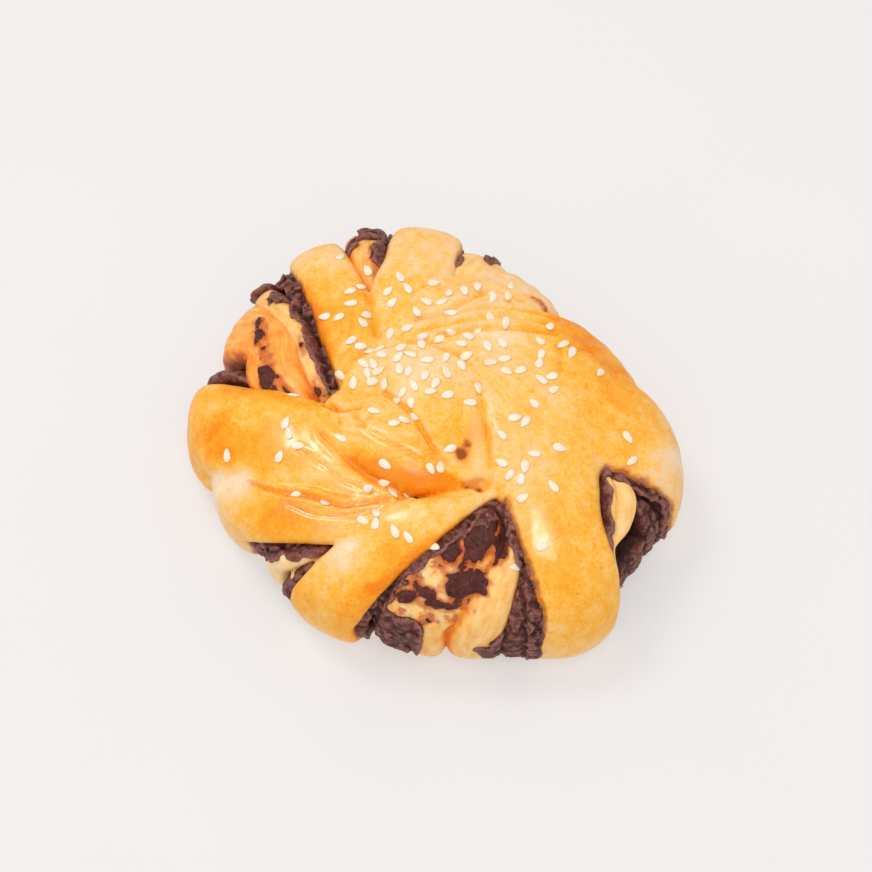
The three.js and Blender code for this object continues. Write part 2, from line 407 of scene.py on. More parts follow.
@dataclass(frozen=True)
class FoldFinish:
    """Inner dough, glazed in streaks, torn in places, with paste left on it."""

    crumb: Colour = Colour(250, 220, 172)
    cream: Colour = Colour(251, 202, 126)
    glaze: Colour = Colour(247, 172, 76)
    orange: Colour = Colour(244, 140, 42)
    rust: Colour = Colour(196, 88, 32)
    paste: PasteFinish = PasteFinish()

    def material(self) -> bpy.types.Material:
        """Builds the material.

        The mesh gives bake, torn, paste in millimetres past its edge, along and across.

        Returns:
            The material.
        """
        graph = ShaderGraph("inner_dough")
        place = graph.place()
        run = graph.node("ShaderNodeCombineXYZ", {}, {
            "X": 0.22 * graph.attribute("along"), "Y": graph.attribute("across"), "Z": 0.0,
        }).outputs["Vector"]
        streak = graph.noise(run, 1.5, 3.0)
        blot = graph.noise(place, 2.6, 4.0)
        grain = graph.noise(place, 0.6, 2.0)
        torn = graph.attribute("torn")
        tone = graph.attribute("bake") + (0.8 + 0.3 * torn) * streak + 0.4 * blot
        dough = graph.ramp(tone, [
            (0.0, self.crumb), (0.38, self.cream), (0.62, self.glaze), (0.82, self.orange),
            (1.0, self.rust),
        ])
        flake = torn * (graph.noise(place, 3.6, 5.0) + 0.15)
        dough = graph.mix(0.8 * flake.rise(0.1, 0.24), dough, self.rust.linear)
        edge = graph.noise(place, 1.0, 3.0) - graph.attribute("paste")
        dough = graph.mix(0.8 * edge.rise(-1.3, -0.1), dough, self.rust.linear)
        cover = graph.math("MAXIMUM", edge.rise(-0.1, 0.15), flake.rise(0.27, 0.33))
        dough = graph.mix(cover, dough, self.paste.colour(graph, 0.34 + 0.3 * grain))
        relief = 0.6 * streak + 0.5 * blot + 0.35 * grain + 0.7 * cover + 0.8 * cover * grain
        return graph.surface({
            "Base Color": dough,
            "Roughness": 0.5 + 0.25 * blot,
            "Specular IOR Level": 0.2,
            "Subsurface Weight": 0.1,
            "Subsurface Radius": (1.0, 0.5, 0.2),
            "Subsurface Scale": 0.002,
            "Coat Weight": (0.15 + 0.4 * streak) * (1 - cover),
            "Coat Roughness": 0.3,
            "Normal": graph.bump(relief, 0.3, 0.7),
        })


@dataclass(frozen=True)
class SeedFinish:
    """Hulled sesame, cream with a faint toasted side."""

    hull: Colour = Colour(245, 228, 204)
    toast: Colour = Colour(236, 200, 152)

    def material(self) -> bpy.types.Material:
        """Builds the material.

        Returns:
            The material.
        """
        graph = ShaderGraph("sesame")
        place = graph.place()
        toast = (graph.noise(place, 5.0, 1.0) + 0.6 * graph.noise(place, 0.7, 2.0)).rise(0.02, 0.42)
        return graph.surface({
            "Base Color": graph.mix(0.7 * toast, self.hull.linear, self.toast.linear),
            "Roughness": 0.42 + 0.3 * graph.noise(place, 0.8, 2.0),
            "Subsurface Weight": 0.2,
            "Subsurface Radius": (1.0, 0.7, 0.4),
            "Subsurface Scale": 0.0008,
            "Normal": graph.bump(graph.noise(place, 0.35, 2.0), 0.06, 0.5),
        })


@dataclass(frozen=True)
class FloorFinish:
    """Plain pale studio floor, lit from below like a light table."""

    light: Colour = Colour(162, 160, 160)
    shade: Colour = Colour(156, 154, 154)
    glow: Colour = Colour(250, 247, 246)
    glow_strength: float = 0.52

    def material(self) -> bpy.types.Material:
        """Builds the material.

        Returns:
            The material.
        """
        graph = ShaderGraph("pale_floor")
        blot = graph.noise(graph.place(), 90.0, 2.0)
        return graph.surface({
            "Base Color": graph.mix(blot + 0.5, self.shade.linear, self.light.linear),
            "Roughness": 0.5 + 0.1 * blot,
            "Specular IOR Level": 0.1,
            "Emission Color": self.glow.linear,
            "Emission Strength": self.glow_strength,
        })


@dataclass(frozen=True)
class LatticeNoise:
    """Soft random values between lattice points, the same at each run."""

    size: float
    seed: int
    cells: int = 32

    @cached_property
    def _table(self) -> np.ndarray:
        """The lattice's values, from -1 to 1."""
        return np.random.RandomState(self.seed).uniform(-1, 1, (self.cells,) * 3).astype(np.float32)

    def at(self, points: np.ndarray) -> np.ndarray:
        """Values at points, by smooth steps between the lattice's.

        Args:
            points: The points.

        Returns:
            The values, from -1 to 1.
        """
        scaled = points / self.size
        low = np.floor(scaled).astype(int)
        share = scaled - low
        share = share * share * (3 - 2 * share)
        found = np.zeros(len(points))
        for corner in np.ndindex(2, 2, 2):
            i, j, k = ((low + corner) % self.cells).T
            x, y, z = (part if high else 1 - part for part, high in zip(share.T, corner))
            found += x * y * z * self._table[i, j, k]
        return found


@dataclass(frozen=True)
class Cells:
    """A jittered lattice of cells, for crumbs and cracks."""

    size: float
    seed: int
    cells: int = 24

    @cached_property
    def _table(self) -> np.ndarray:
        """Each cell's own centre and height."""
        draw = np.random.RandomState(self.seed)
        return draw.uniform(0.1, 0.9, (4,) + (self.cells,) * 3).astype(np.float32)

    def nearest(self, points: np.ndarray) -> tuple[np.ndarray, np.ndarray, np.ndarray]:
        """Finds the cells that points are in.

        Args:
            points: The points.

        Returns:
            Distances to the nearest and second nearest centre, in cell sizes, and the nearest cell's height.
        """
        scaled = (points.T / self.size).astype(np.float32)
        low = np.floor(scaled).astype(np.int32)
        share = scaled - low
        first, second, height = (np.full(len(points), FAR, np.float32) for _ in range(3))
        for corner in np.ndindex(3, 3, 3):
            i, j, k = ((part + step - 1) % self.cells for part, step in zip(low, corner))
            x, y, z, tall = self._table[:, i, j, k]
            x, y, z = (part - step + 1 - where for part, step, where in zip(share, corner, (x, y, z)))
            square = x * x + y * y + z * z
            height = np.where(square < first, tall, height)
            second = np.minimum(second, np.maximum(first, square))
            first = np.minimum(first, square)
        return np.sqrt(first), np.sqrt(second), height

    def chunks(self, points: np.ndarray) -> np.ndarray:
        """Height of cracked chunks at points, up to 1 on a chunk and 0 in the cracks."""
        first, second, height = self.nearest(points)
        return (0.3 + 0.8 * height) * smooth_step(0.02, 0.3, second - first)


def smooth_step(low: float, high: float, values: np.ndarray) -> np.ndarray:
    """Smooth rise from 0 at low to 1 at high."""
    share = np.clip((values - low) / (high - low), 0, 1)
    return share * share * (3 - 2 * share)


def smooth_join(a: np.ndarray, b: np.ndarray, reach: float) -> np.ndarray:
    """The lesser of two distances, rounded where they are within reach of each other."""
    share = np.clip(0.5 + 0.5 * (b - a) / reach, 0, 1)
    return b + (a - b) * share - reach * share * (1 - share)


def rounded_section(past_side: np.ndarray, past_face: np.ndarray, radius: float) -> np.ndarray:
    """Distance to a section with round corners.

    Args:
        past_side: How far a point is beyond the section's side.
        past_face: How far it is beyond the section's top or bottom.
        radius: The corners' radius.

    Returns:
        Signed distances, below 0 inside.
    """
    a = past_side + radius
    b = past_face + radius
    return np.hypot(np.maximum(a, 0), np.maximum(b, 0)) + np.minimum(np.maximum(a, b), 0) - radius


def nearest_on(line: np.ndarray, points: np.ndarray, batch: int = 50_000) -> tuple[np.ndarray, np.ndarray]:
    """Finds the nearest of a line's samples to each point.

    Args:
        line: The samples.
        points: The points.
        batch: How many points are worked on at a time.

    Returns:
        The samples' numbers, and the squared distances to them.
    """
    best, least = np.zeros(len(points), int), np.zeros(len(points))
    size = (line**2).sum(1)
    for start in range(0, len(points), batch):
        some = points[start:start + batch]
        square = size - 2 * some @ line.T
        found = square.argmin(1)
        best[start:start + batch] = found
        least[start:start + batch] = square[np.arange(len(some)), found] + (some**2).sum(1)
    return best, np.maximum(least, 0)


def curve_through(controls: np.ndarray, count: int) -> np.ndarray:
    """Points on a smooth curve through control rows.

    Args:
        controls: One row for each control, of any number of columns.
        count: How many points to give.

    Returns:
        The curve's rows, evenly spaced between controls.
    """
    ends = np.vstack((2 * controls[0] - controls[1], controls, 2 * controls[-1] - controls[-2]))
    place = np.linspace(0, len(controls) - 1, count)
    first = np.minimum(place.astype(int), len(controls) - 2)
    t = (place - first)[:, None]
    a, b, c, d = (ends[first + k] for k in range(4))
    return 0.5 * (2 * b + (c - a) * t + (2 * a - 5 * b + 4 * c - d) * t**2 + (3 * b - a - 3 * c + d) * t**3)


@dataclass(frozen=True)
class Dome:
    """The bun's outer form: an oval, slightly egg-shaped plan under a rounded crown."""

    mean_radius: float = 54.6
    oval_share: float = 0.093
    oval_turn: float = math.radians(37)
    egg_share: float = 0.031
    egg_turn: float = math.radians(21)
    height: float = 42.0
    belt: float = 18.0
    crown_power: float = 2.3
    foot_power: float = 5.0

    def plan_radius(self, azimuth: np.ndarray) -> np.ndarray:
        """Radius of the plan at an azimuth.

        Args:
            azimuth: Angles round the bun, in radians.

        Returns:
            The radii.
        """
        oval = self.oval_share * np.cos(2 * (azimuth + self.oval_turn))
        egg = self.egg_share * np.cos(3 * (azimuth + self.egg_turn))
        return self.mean_radius * (1 + oval + egg)

    def plan_slope(self, azimuth: np.ndarray) -> np.ndarray:
        """Change of the plan's radius with azimuth.

        Args:
            azimuth: Angles round the bun, in radians.

        Returns:
            The change for each radian.
        """
        oval = -2 * self.oval_share * np.sin(2 * (azimuth + self.oval_turn))
        egg = -3 * self.egg_share * np.sin(3 * (azimuth + self.egg_turn))
        return self.mean_radius * (oval + egg)

    def level(self, points: np.ndarray) -> tuple[np.ndarray, np.ndarray]:
        """The form as a function that is 0 on it.

        Args:
            points: Places to measure.

        Returns:
            The function's values, above 0 outside, and its slopes.
        """
        x, y, z = points.T
        radius = np.maximum(np.hypot(x, y), 1e-4)
        azimuth = np.arctan2(y, x)
        plan = self.plan_radius(azimuth)
        lift = z - self.belt
        above = lift > 0
        power = np.where(above, self.crown_power, self.foot_power)
        rise = np.where(above, self.height - self.belt, -self.belt)
        q = np.maximum(radius / plan, 1e-5)
        w = np.maximum(lift / rise, 1e-5)
        total = q**power + w**power
        value = total ** (1 / power)
        outer = value / total
        by_radius = outer * q ** (power - 1) / plan
        by_azimuth = -outer * q ** (power - 1) * self.plan_slope(azimuth) / plan**2
        by_height = outer * w ** (power - 1) / rise
        cosine, sine = x / radius, y / radius
        by_x = by_radius * cosine - by_azimuth * sine
        by_y = by_radius * sine + by_azimuth * cosine
        return value - 1, np.stack((by_x, by_y, by_height)).T

    def settle(self, points: np.ndarray, steps: int = 4) -> tuple[np.ndarray, np.ndarray, np.ndarray]:
        """Moves points onto the form.

        Args:
            points: Places near the form.
            steps: How often the move is repeated.

        Returns:
            The places on the form, its outward normals there, and how deep the points were under it.
        """
        onto = points.copy()
        for _ in range(steps):
            value, slope = self.level(onto)
            onto -= (value / (slope**2).sum(1))[:, None] * slope
        _, slope = self.level(onto)
        normal = slope / np.linalg.norm(slope, axis=1)[:, None]
        return onto, normal, ((onto - points) * normal).sum(1)

    def crown_at(self, x: float, y: float) -> np.ndarray:
        """The place on the upper form over a plan point.

        Args:
            x: Its place to the right.
            y: Its place to the back.

        Returns:
            The place.
        """
        share = min(math.hypot(x, y) / float(self.plan_radius(np.float64(math.atan2(y, x)))), 0.999)
        rise = (self.height - self.belt) * (1 - share**self.crown_power) ** (1 / self.crown_power)
        return np.array((x, y, self.belt + rise))

    def side_at(self, azimuth_deg: float, z: float) -> np.ndarray:
        """The place on the side at an azimuth and a height up to the belt.

        Args:
            azimuth_deg: The angle round the bun, in degrees.
            z: The height over the base.

        Returns:
            The place.
        """
        azimuth = math.radians(azimuth_deg)
        share = (1 - ((self.belt - z) / self.belt) ** self.foot_power) ** (1 / self.foot_power)
        radius = float(self.plan_radius(np.float64(azimuth))) * share
        return np.array((radius * math.cos(azimuth), radius * math.sin(azimuth), z))


@dataclass(frozen=True)
class Spot:
    """A place in plan with the depth of a band's top there, its half width and how far it is baked."""

    x: float
    y: float
    depth: float
    half_width: float
    bake: float


@dataclass(frozen=True)
class Rim:
    """Where a band goes over the bun's side."""

    azimuth: float
    depth: float
    half_width: float
    bake: float
    heights: tuple[float, ...] = (17.0, 9.0, 2.5)


@dataclass(frozen=True)
class Strip:
    """Paste along one edge of a strap, from one width near the crown to another at the rim.

    It begins at a share of the strap's length, where the gap beside the strap opens.
    """

    side: Side
    start: float
    end: float
    sunk: float = 2.4
    begin: float = 0.0

    def width(self, run: np.ndarray) -> np.ndarray:
        """Its width at shares of the strap's length, below 0 where there is none."""
        grown = self.start + (self.end - self.start) * smooth_step(0.35, 0.8, run)
        return grown - FAR * smooth_step(self.begin, self.begin - 0.1, run)


@dataclass(frozen=True)
class Reading:
    """What a band measures at the points near it."""

    index: np.ndarray
    distance: np.ndarray
    across: np.ndarray
    along: np.ndarray
    run: np.ndarray
    half_width: np.ndarray
    depth: np.ndarray
    bake: np.ndarray


@dataclass(frozen=True)
class Band:
    """A strap or fold of dough that lies on the dome."""

    name: str
    spots: tuple[Spot, ...]
    rim: Rim | None = None
    bottom: float = 12.6
    crown: float = 1.6
    edge: float = 2.2
    blend: float = 1.2
    lean: float = 0.0
    ripple: float = 0.0
    ripple_pitch: float = 4.0
    paste: tuple[Strip, ...] = ()
    torn: float = 0.0
    samples: int = 56
    reach: float = 7.0

    def spine(self, dome: Dome) -> np.ndarray:
        """Rows of place, depth, half width and bake along the band's middle.

        Args:
            dome: The form that the band lies on.

        Returns:
            The rows, evenly spaced.
        """
        rows = [(*dome.crown_at(s.x, s.y), s.depth, s.half_width, s.bake) for s in self.spots]
        if self.rim:
            sizes = (self.rim.depth, self.rim.half_width, self.rim.bake)
            rows += [(*dome.side_at(self.rim.azimuth, z), *sizes) for z in self.rim.heights]
        curve = curve_through(np.array(rows), self.samples * 4)
        curve[:, :3] = dome.settle(curve[:, :3])[0]
        length = np.concatenate(([0], np.cumsum(np.linalg.norm(np.diff(curve[:, :3], axis=0), axis=1))))
        even = np.linspace(0, length[-1], self.samples)
        return np.stack([np.interp(even, length, column) for column in curve.T], axis=1)

    def read(self, dome: Dome, surface: np.ndarray, depth: np.ndarray) -> Reading:
        """Measures points against the band.

        Args:
            dome: The form that the band lies on.
            surface: The points' places on the form.
            depth: How deep the points are under it.

        Returns:
            The reading, for the points within reach.
        """
        spine = self.spine(dome)
        middle = spine[:, :3]
        margin = spine[:, 4].max() + self.reach
        inside = (surface > middle.min(0) - margin) & (surface < middle.max(0) + margin)
        index = np.flatnonzero(inside.all(1))
        nearest, square = nearest_on(middle, surface[index])
        near = square < margin**2
        index, nearest = index[near], nearest[near]
        tangent = np.gradient(middle, axis=0)
        step = np.linalg.norm(tangent, axis=1)
        tangent /= step[:, None]
        right = np.cross(tangent, dome.settle(middle)[1])
        right /= np.linalg.norm(right, axis=1)[:, None]
        offset = surface[index] - middle[nearest]
        forward = (offset * tangent[nearest]).sum(1)
        across = (offset * right[nearest]).sum(1)
        place = nearest + forward / step[nearest]
        last = self.samples - 1
        past_end = np.maximum(np.maximum(-place, place - last), 0) * step.mean()
        place = np.clip(place, 0, last)
        sunk, half_width, bake = (np.interp(place, np.arange(self.samples), spine[:, k]) for k in (3, 4, 5))
        lateral = np.hypot(across, past_end)
        share = np.minimum(lateral / half_width, PAST_SIDE)
        slant = self.lean * np.clip(across / half_width, -PAST_SIDE, PAST_SIDE)
        top = sunk + self.crown * share**CROWN_POWER + slant
        fade = self.ripple * (1 - 0.75 * smooth_step(0.25, 0.7, place / last))
        top += fade * np.sin(across * 2 * math.pi / self.ripple_pitch + 0.09 * place)
        face = np.maximum(top - depth[index], depth[index] - self.bottom)
        distance = rounded_section(lateral - half_width, face, self.edge)
        return Reading(index, distance, across, place * step.mean(), place / last, half_width, sunk, bake)


@dataclass(frozen=True)
class Groove:
    """A line on the crust: a crease of that depth, or a glossy streak of that strength."""

    path: tuple[tuple[float, float], ...]
    depth: float
    width: float

    def line(self, dome: Dome) -> np.ndarray:
        """Closely spaced points of the line on the dome."""
        curve = curve_through(np.array(self.path), LINE_SAMPLES * len(self.path))
        return np.array([dome.crown_at(x, y) for x, y in curve])

    def gaps(self, dome: Dome, points: np.ndarray) -> tuple[np.ndarray, np.ndarray]:
        """Finds the points near the line.

        Args:
            dome: The form that the line is on.
            points: The points.

        Returns:
            Numbers of the near ones, and their distances from the line in widths.
        """
        line = self.line(dome)
        margin = 3 * self.width + 2
        near = np.flatnonzero(((points > line.min(0) - margin) & (points < line.max(0) + margin)).all(1))
        return near, np.sqrt(nearest_on(line, points[near])[1]) / self.width

    def press(self, gap: np.ndarray) -> np.ndarray:
        """How far the crease, and a low ridge on each side of it, move the crust at distances in widths."""
        return self.depth * (RIDGE_SHARE * np.exp(-((gap - RIDGE_PLACE) ** 2)) - np.exp(-(gap**2)))


@dataclass(frozen=True)
class Mark:
    """A round mark on the crust: a place in plan, a radius and a strength."""

    x: float
    y: float
    radius: float
    strength: float = 1.0

    def share(self, surface: np.ndarray) -> np.ndarray:
        """How much of the mark is at places on the dome."""
        gap = np.hypot(surface[:, 0] - self.x, surface[:, 1] - self.y)
        return self.strength * np.exp(-((gap / self.radius) ** 2))


@dataclass(frozen=True)
class Coat:
    """Paste left on a fold: place, heading in degrees, half sizes and thickness.

    It has a height where it is on the side, and is faint where it has only coloured the dough.
    """

    x: float
    y: float
    heading: float
    half_length: float
    half_width: float
    thickness: float = 0.0
    height: float | None = None
    faint: float = 0.0
    power: float = 3.6

    def outline(self, dome: Dome, surface: np.ndarray) -> np.ndarray:
        """Signed distances of places on the dome to the coat's outline.

        Args:
            dome: The form that the coat is on.
            surface: The places.

        Returns:
            The distances, below 0 inside.
        """
        if self.height is None:
            middle = dome.crown_at(self.x, self.y)
        else:
            middle = dome.side_at(math.degrees(math.atan2(self.y, self.x)), self.height)
        offset = surface - middle
        along = np.array((math.cos(math.radians(self.heading)), math.sin(math.radians(self.heading)), 0))
        forward = offset @ along
        sideways = np.sqrt(np.maximum((offset**2).sum(1) - forward**2, 0))
        stretch = np.abs(forward / self.half_length) ** self.power
        stretch += (sideways / self.half_width) ** self.power
        return (stretch ** (1 / self.power) - 1) * min(self.half_length, self.half_width) + self.faint


@dataclass
class Shape:
    """A mesh in millimetres with numbers at its vertices."""

    vertices: np.ndarray
    faces: np.ndarray
    numbers: dict[str, np.ndarray] = field(default_factory=dict)

    @cached_property
    def _links(self) -> tuple[np.ndarray, np.ndarray]:
        """Which vertices are joined.

        Returns:
            Pairs of joined vertices, both ways, and how many each vertex has.
        """
        edges = np.concatenate([self.faces[:, (k, (k + 1) % 4)] for k in range(4)])
        edges = np.concatenate((edges, edges[:, ::-1]))
        return edges, np.maximum(np.bincount(edges[:, 0], minlength=len(self.vertices)), 1)

    def around(self, values: np.ndarray) -> np.ndarray:
        """Mean of a value over each vertex's neighbours."""
        edges, count = self._links
        return np.bincount(edges[:, 0], weights=values[edges[:, 1]], minlength=len(values)) / count

    def relax(self, rounds: int, pull: float = 0.5, push: float = -0.52) -> None:
        """Evens out small steps and keeps the volume.

        Args:
            rounds: How often it is done.
            pull: Share of the way to the neighbours' mean.
            push: Share of the way back.
        """
        for share in (pull, push) * rounds:
            mean = np.stack([self.around(column) for column in self.vertices.T], axis=1)
            self.vertices += share * (mean - self.vertices)

    def hollows(self, rounds: int) -> np.ndarray:
        """How hollow the surface is, in millimetres.

        Args:
            rounds: How often the result is spread to its neighbours.

        Returns:
            Values above 0 in creases and below 0 on ridges.
        """
        mean = np.stack([self.around(column) for column in self.vertices.T], axis=1)
        found = ((mean - self.vertices) * self.normals()).sum(1)
        for _ in range(rounds):
            found = 0.5 * (found + self.around(found))
        return found

    def normals(self) -> np.ndarray:
        """Outward normals at the vertices.

        Returns:
            The normals, of length 1.
        """
        a, b, c, d = (self.vertices[self.faces[:, k]] for k in range(4))
        facing = np.cross(c - a, d - b)
        corners, count = self.faces.T.ravel(), len(self.vertices)
        total = np.stack([np.bincount(corners, np.tile(part, 4), count) for part in facing.T], axis=1)
        return total / np.maximum(np.linalg.norm(total, axis=1), 1e-9)[:, None]

    def build(self, name: PieceName, material: bpy.types.Material, floor_cut: bool) -> bpy.types.Object:
        """Makes the Blender object, in metres in the part's frame.

        Args:
            name: The piece's name.
            material: Its finish.
            floor_cut: Whether the shape is cut off flat at the base.

        Returns:
            The object, linked to the scene.
        """
        mesh = bpy.data.meshes.new(name.value)
        mesh.from_pydata(((self.vertices + SWIRL_MIDDLE) * MM).tolist(), [], self.faces.tolist())
        for key, values in self.numbers.items():
            kind, slot = ("FLOAT", "value") if values.ndim == 1 else ("FLOAT_VECTOR", "vector")
            mesh.attributes.new(key, kind, "POINT").data.foreach_set(slot, values.astype(np.float32).ravel())
        work = bmesh.new()
        work.from_mesh(mesh)
        if floor_cut:
            parts = list(work.verts) + list(work.edges) + list(work.faces)
            cut = bmesh.ops.bisect_plane(
                work, geom=parts, plane_co=(0, 0, 0), plane_no=(0, 0, 1), clear_inner=True
            )
            rim = [e for e in cut["geom_cut"] if isinstance(e, bmesh.types.BMEdge)]
            bmesh.ops.contextual_create(work, geom=rim)
        bmesh.ops.recalc_face_normals(work, faces=work.faces)
        for face in work.faces:
            face.smooth = len(face.verts) <= 4
        work.to_mesh(mesh)
        work.free()
        mesh.materials.append(material)
        piece = bpy.data.objects.new(name.value, mesh)
        bpy.context.scene.collection.objects.link(piece)
        self._thin(piece)
        return piece

    def _thin(self, piece: bpy.types.Object) -> None:
        """Merges triangles where the surface is plain, until the piece is within the limit.

        Args:
            piece: The piece.
        """
        triangles = sum(len(p.vertices) - 2 for p in piece.data.polygons)
        if triangles <= MOST_TRIANGLES:
            return
        modifier = piece.modifiers.new("thin", "DECIMATE")
        modifier.ratio = MOST_TRIANGLES / triangles
        evaluated = piece.evaluated_get(bpy.context.evaluated_depsgraph_get())
        made = bpy.data.meshes.new_from_object(evaluated)
        piece.modifiers.remove(modifier)
        self._drop_flaps(made)
        piece.data = made

    @staticmethod
    def _drop_flaps(mesh: bpy.types.Mesh) -> None:
        """Takes out pairs of faces that lie back to back on the same corners.

        Args:
            mesh: The mesh.
        """
        work = bmesh.new()
        work.from_mesh(mesh)
        on_corners = {}
        for face in work.faces:
            on_corners.setdefault(frozenset(corner.index for corner in face.verts), []).append(face)
        flaps = [face for faces in on_corners.values() if len(faces) == 2 for face in faces]
        bmesh.ops.delete(work, geom=flaps, context="FACES")
        work.to_mesh(mesh)
        work.free()


@dataclass
class Cloud:
    """Grid points near the dome: their numbers, places, places on the dome and depths under it."""

    index: np.ndarray
    points: np.ndarray
    surface: np.ndarray
    depth: np.ndarray

    def part(self, chosen: np.ndarray) -> "Cloud":
        """The chosen points alone."""
        return Cloud(self.index[chosen], self.points[chosen], self.surface[chosen], self.depth[chosen])


@dataclass
class VoxelBlock:
    """A grid of points round the bun on which solids are drawn as distances."""

    dome: Dome
    step: float
    half_x: float = 63.0
    half_y: float = 62.0
    low: float = -1.8
    high: float = 46.2

    def __post_init__(self) -> None:
        """Lays out the grid."""
        self.axes = [
            np.arange(-self.half_x, self.half_x, self.step),
            np.arange(-self.half_y, self.half_y, self.step),
            np.arange(self.low, self.high, self.step),
        ]
        self.origin = np.array([axis[0] for axis in self.axes])
        self.shape = tuple(len(axis) for axis in self.axes)

    def cloud(self, chosen: np.ndarray) -> Cloud:
        """The grid points that a mask of the grid's shape chooses.

        Args:
            chosen: The mask.

        Returns:
            The points, measured against the dome.
        """
        index = np.flatnonzero(chosen)
        points = self.origin + self.step * np.stack(np.unravel_index(index, self.shape), axis=1)
        surface, _, depth = self.dome.settle(points)
        return Cloud(index, points, surface, depth)

    @cached_property
    def depths(self) -> np.ndarray:
        """Roughly how deep each grid point is under the dome.

        Returns:
            The depths, in the grid's shape.
        """
        grid = np.stack(np.meshgrid(*self.axes, indexing="ij"), axis=-1).reshape(-1, 3)
        value, slope = self.dome.level(grid)
        return (-value / np.linalg.norm(slope, axis=1)).reshape(self.shape)

    def widened(self, chosen: np.ndarray, margin: float) -> np.ndarray:
        """A mask of the grid's points spread by a margin along each axis.

        Args:
            chosen: The mask.
            margin: How far it spreads.

        Returns:
            The wider mask.
        """
        wide = chosen.copy()
        for _ in range(math.ceil(margin / self.step)):
            for axis in range(3):
                line = np.moveaxis(wide, axis, 0)
                before = line.copy()
                line[1:] |= before[:-1]
                line[:-1] |= before[1:]
        return wide

    def finer_mask(self, chosen: np.ndarray, finer: "VoxelBlock") -> np.ndarray:
        """The points of a finer grid that lie in this grid's chosen cells.

        Args:
            chosen: A mask of this grid.
            finer: The finer grid.

        Returns:
            A mask of the finer grid.
        """
        cells = [
            np.clip(((axis - start) / self.step).astype(int), 0, count - 1)
            for axis, start, count in zip(finer.axes, self.origin, self.shape)
        ]
        return chosen[np.ix_(*cells)]

    def between(self, values: np.ndarray, points: np.ndarray) -> np.ndarray:
        """Values of the grid at any points, by steps between the grid's own.

        Args:
            values: The grid's values.
            points: The points.

        Returns:
            The values there.
        """
        scaled = (points - self.origin) / self.step
        low = np.clip(np.floor(scaled).astype(int), 0, np.array(self.shape) - 2)
        share = np.clip(scaled - low, 0, 1)
        found = np.zeros(len(points))
        for corner in np.ndindex(2, 2, 2):
            i, j, k = (low + corner).T
            x, y, z = (part if high else 1 - part for part, high in zip(share.T, corner))
            found += x * y * z * values[i, j, k]
        return found

    def net(self, values: np.ndarray) -> Shape:
        """Meshes a solid.

        Args:
            values: Signed distances to it on the grid.

        Returns:
            The solid's surface, in quads.
        """
        inside = values < 0
        corners = list(np.ndindex(2, 2, 2))
        span = [tuple(slice(c, n - 1 + c) for c, n in zip(corner, self.shape)) for corner in corners]
        count = sum(inside[s].astype(np.int8) for s in span)
        cells = np.argwhere((count > 0) & (count < 8))
        number = np.full(tuple(n - 1 for n in self.shape), -1, int)
        number[tuple(cells.T)] = np.arange(len(cells))
        held = np.stack([values[tuple((cells + corner).T)] for corner in corners], axis=1)
        total = np.zeros((len(cells), 3))
        crossings = np.zeros(len(cells))
        for a, b in self._edges(corners):
            crossed = (held[:, a] < 0) != (held[:, b] < 0)
            share = held[crossed, a] / (held[crossed, a] - held[crossed, b])
            start, end = np.array(corners[a]), np.array(corners[b])
            total[crossed] += start + share[:, None] * (end - start)
            crossings[crossed] += 1
        vertices = self.origin + self.step * (cells + total / crossings[:, None])
        faces = np.concatenate([self._quads(inside, number, axis) for axis in range(3)])
        return Shape(vertices, faces)

    def fill(self, cloud: Cloud, distance: np.ndarray, rest: np.ndarray | float) -> np.ndarray:
        """Distances on the whole grid from those at a cloud's points and a value for the rest.

        Args:
            cloud: The points.
            distance: The distances there.
            rest: The value elsewhere.

        Returns:
            The grid's values.
        """
        values = np.full(self.shape, FAR, np.float32)
        values[...] = rest
        values.ravel()[cloud.index] = distance
        return values

    @staticmethod
    def _edges(corners: list[tuple[int, ...]]) -> Iterator[tuple[int, int]]:
        """Pairs of corners that a cell's edges join.

        Args:
            corners: The cell's corners.

        Yields:
            The numbers of two corners at a time.
        """
        for a, first in enumerate(corners):
            for b, second in enumerate(corners):
                if a < b and sum(abs(p - q) for p, q in zip(first, second)) == 1:
                    yield a, b

    @staticmethod
    def _quads(inside: np.ndarray, number: np.ndarray, axis: int) -> np.ndarray:
        """Faces across the grid edges along one axis whose ends differ.

        Args:
            inside: Which grid points are in the solid.
            number: The vertex in each cell.
            axis: The edges' axis.

        Returns:
            The faces, as rows of four vertices.
        """
        u, v = (axis + 1) % 3, (axis + 2) % 3
        low = [slice(1, -1)] * 3
        low[axis] = slice(0, -1)
        high = list(low)
        high[axis] = slice(1, None)
        differs = inside[tuple(low)] != inside[tuple(high)]
        start = np.argwhere(differs) + np.array([0 if k == axis else 1 for k in range(3)])
        outward = inside[tuple(start.T)]
        ring = []
        for du, dv in ((-1, -1), (0, -1), (0, 0), (-1, 0)):
            cell = start.copy()
            cell[:, u] += du
            cell[:, v] += dv
            ring.append(number[tuple(cell.T)])
        quads = np.stack(ring, axis=1)
        quads[~outward] = quads[~outward, ::-1]
        return quads[(quads >= 0).all(1)]


def strap(name: str, spots: list[tuple[float, ...]], rim: tuple[Any, ...] | None, **sizes: Any) -> Band:
    """A band from its spots' numbers, in rows, and its rim's, where it has one."""
    return Band(name, tuple(Spot(*s) for s in spots), Rim(*rim) if rim else None, **sizes)


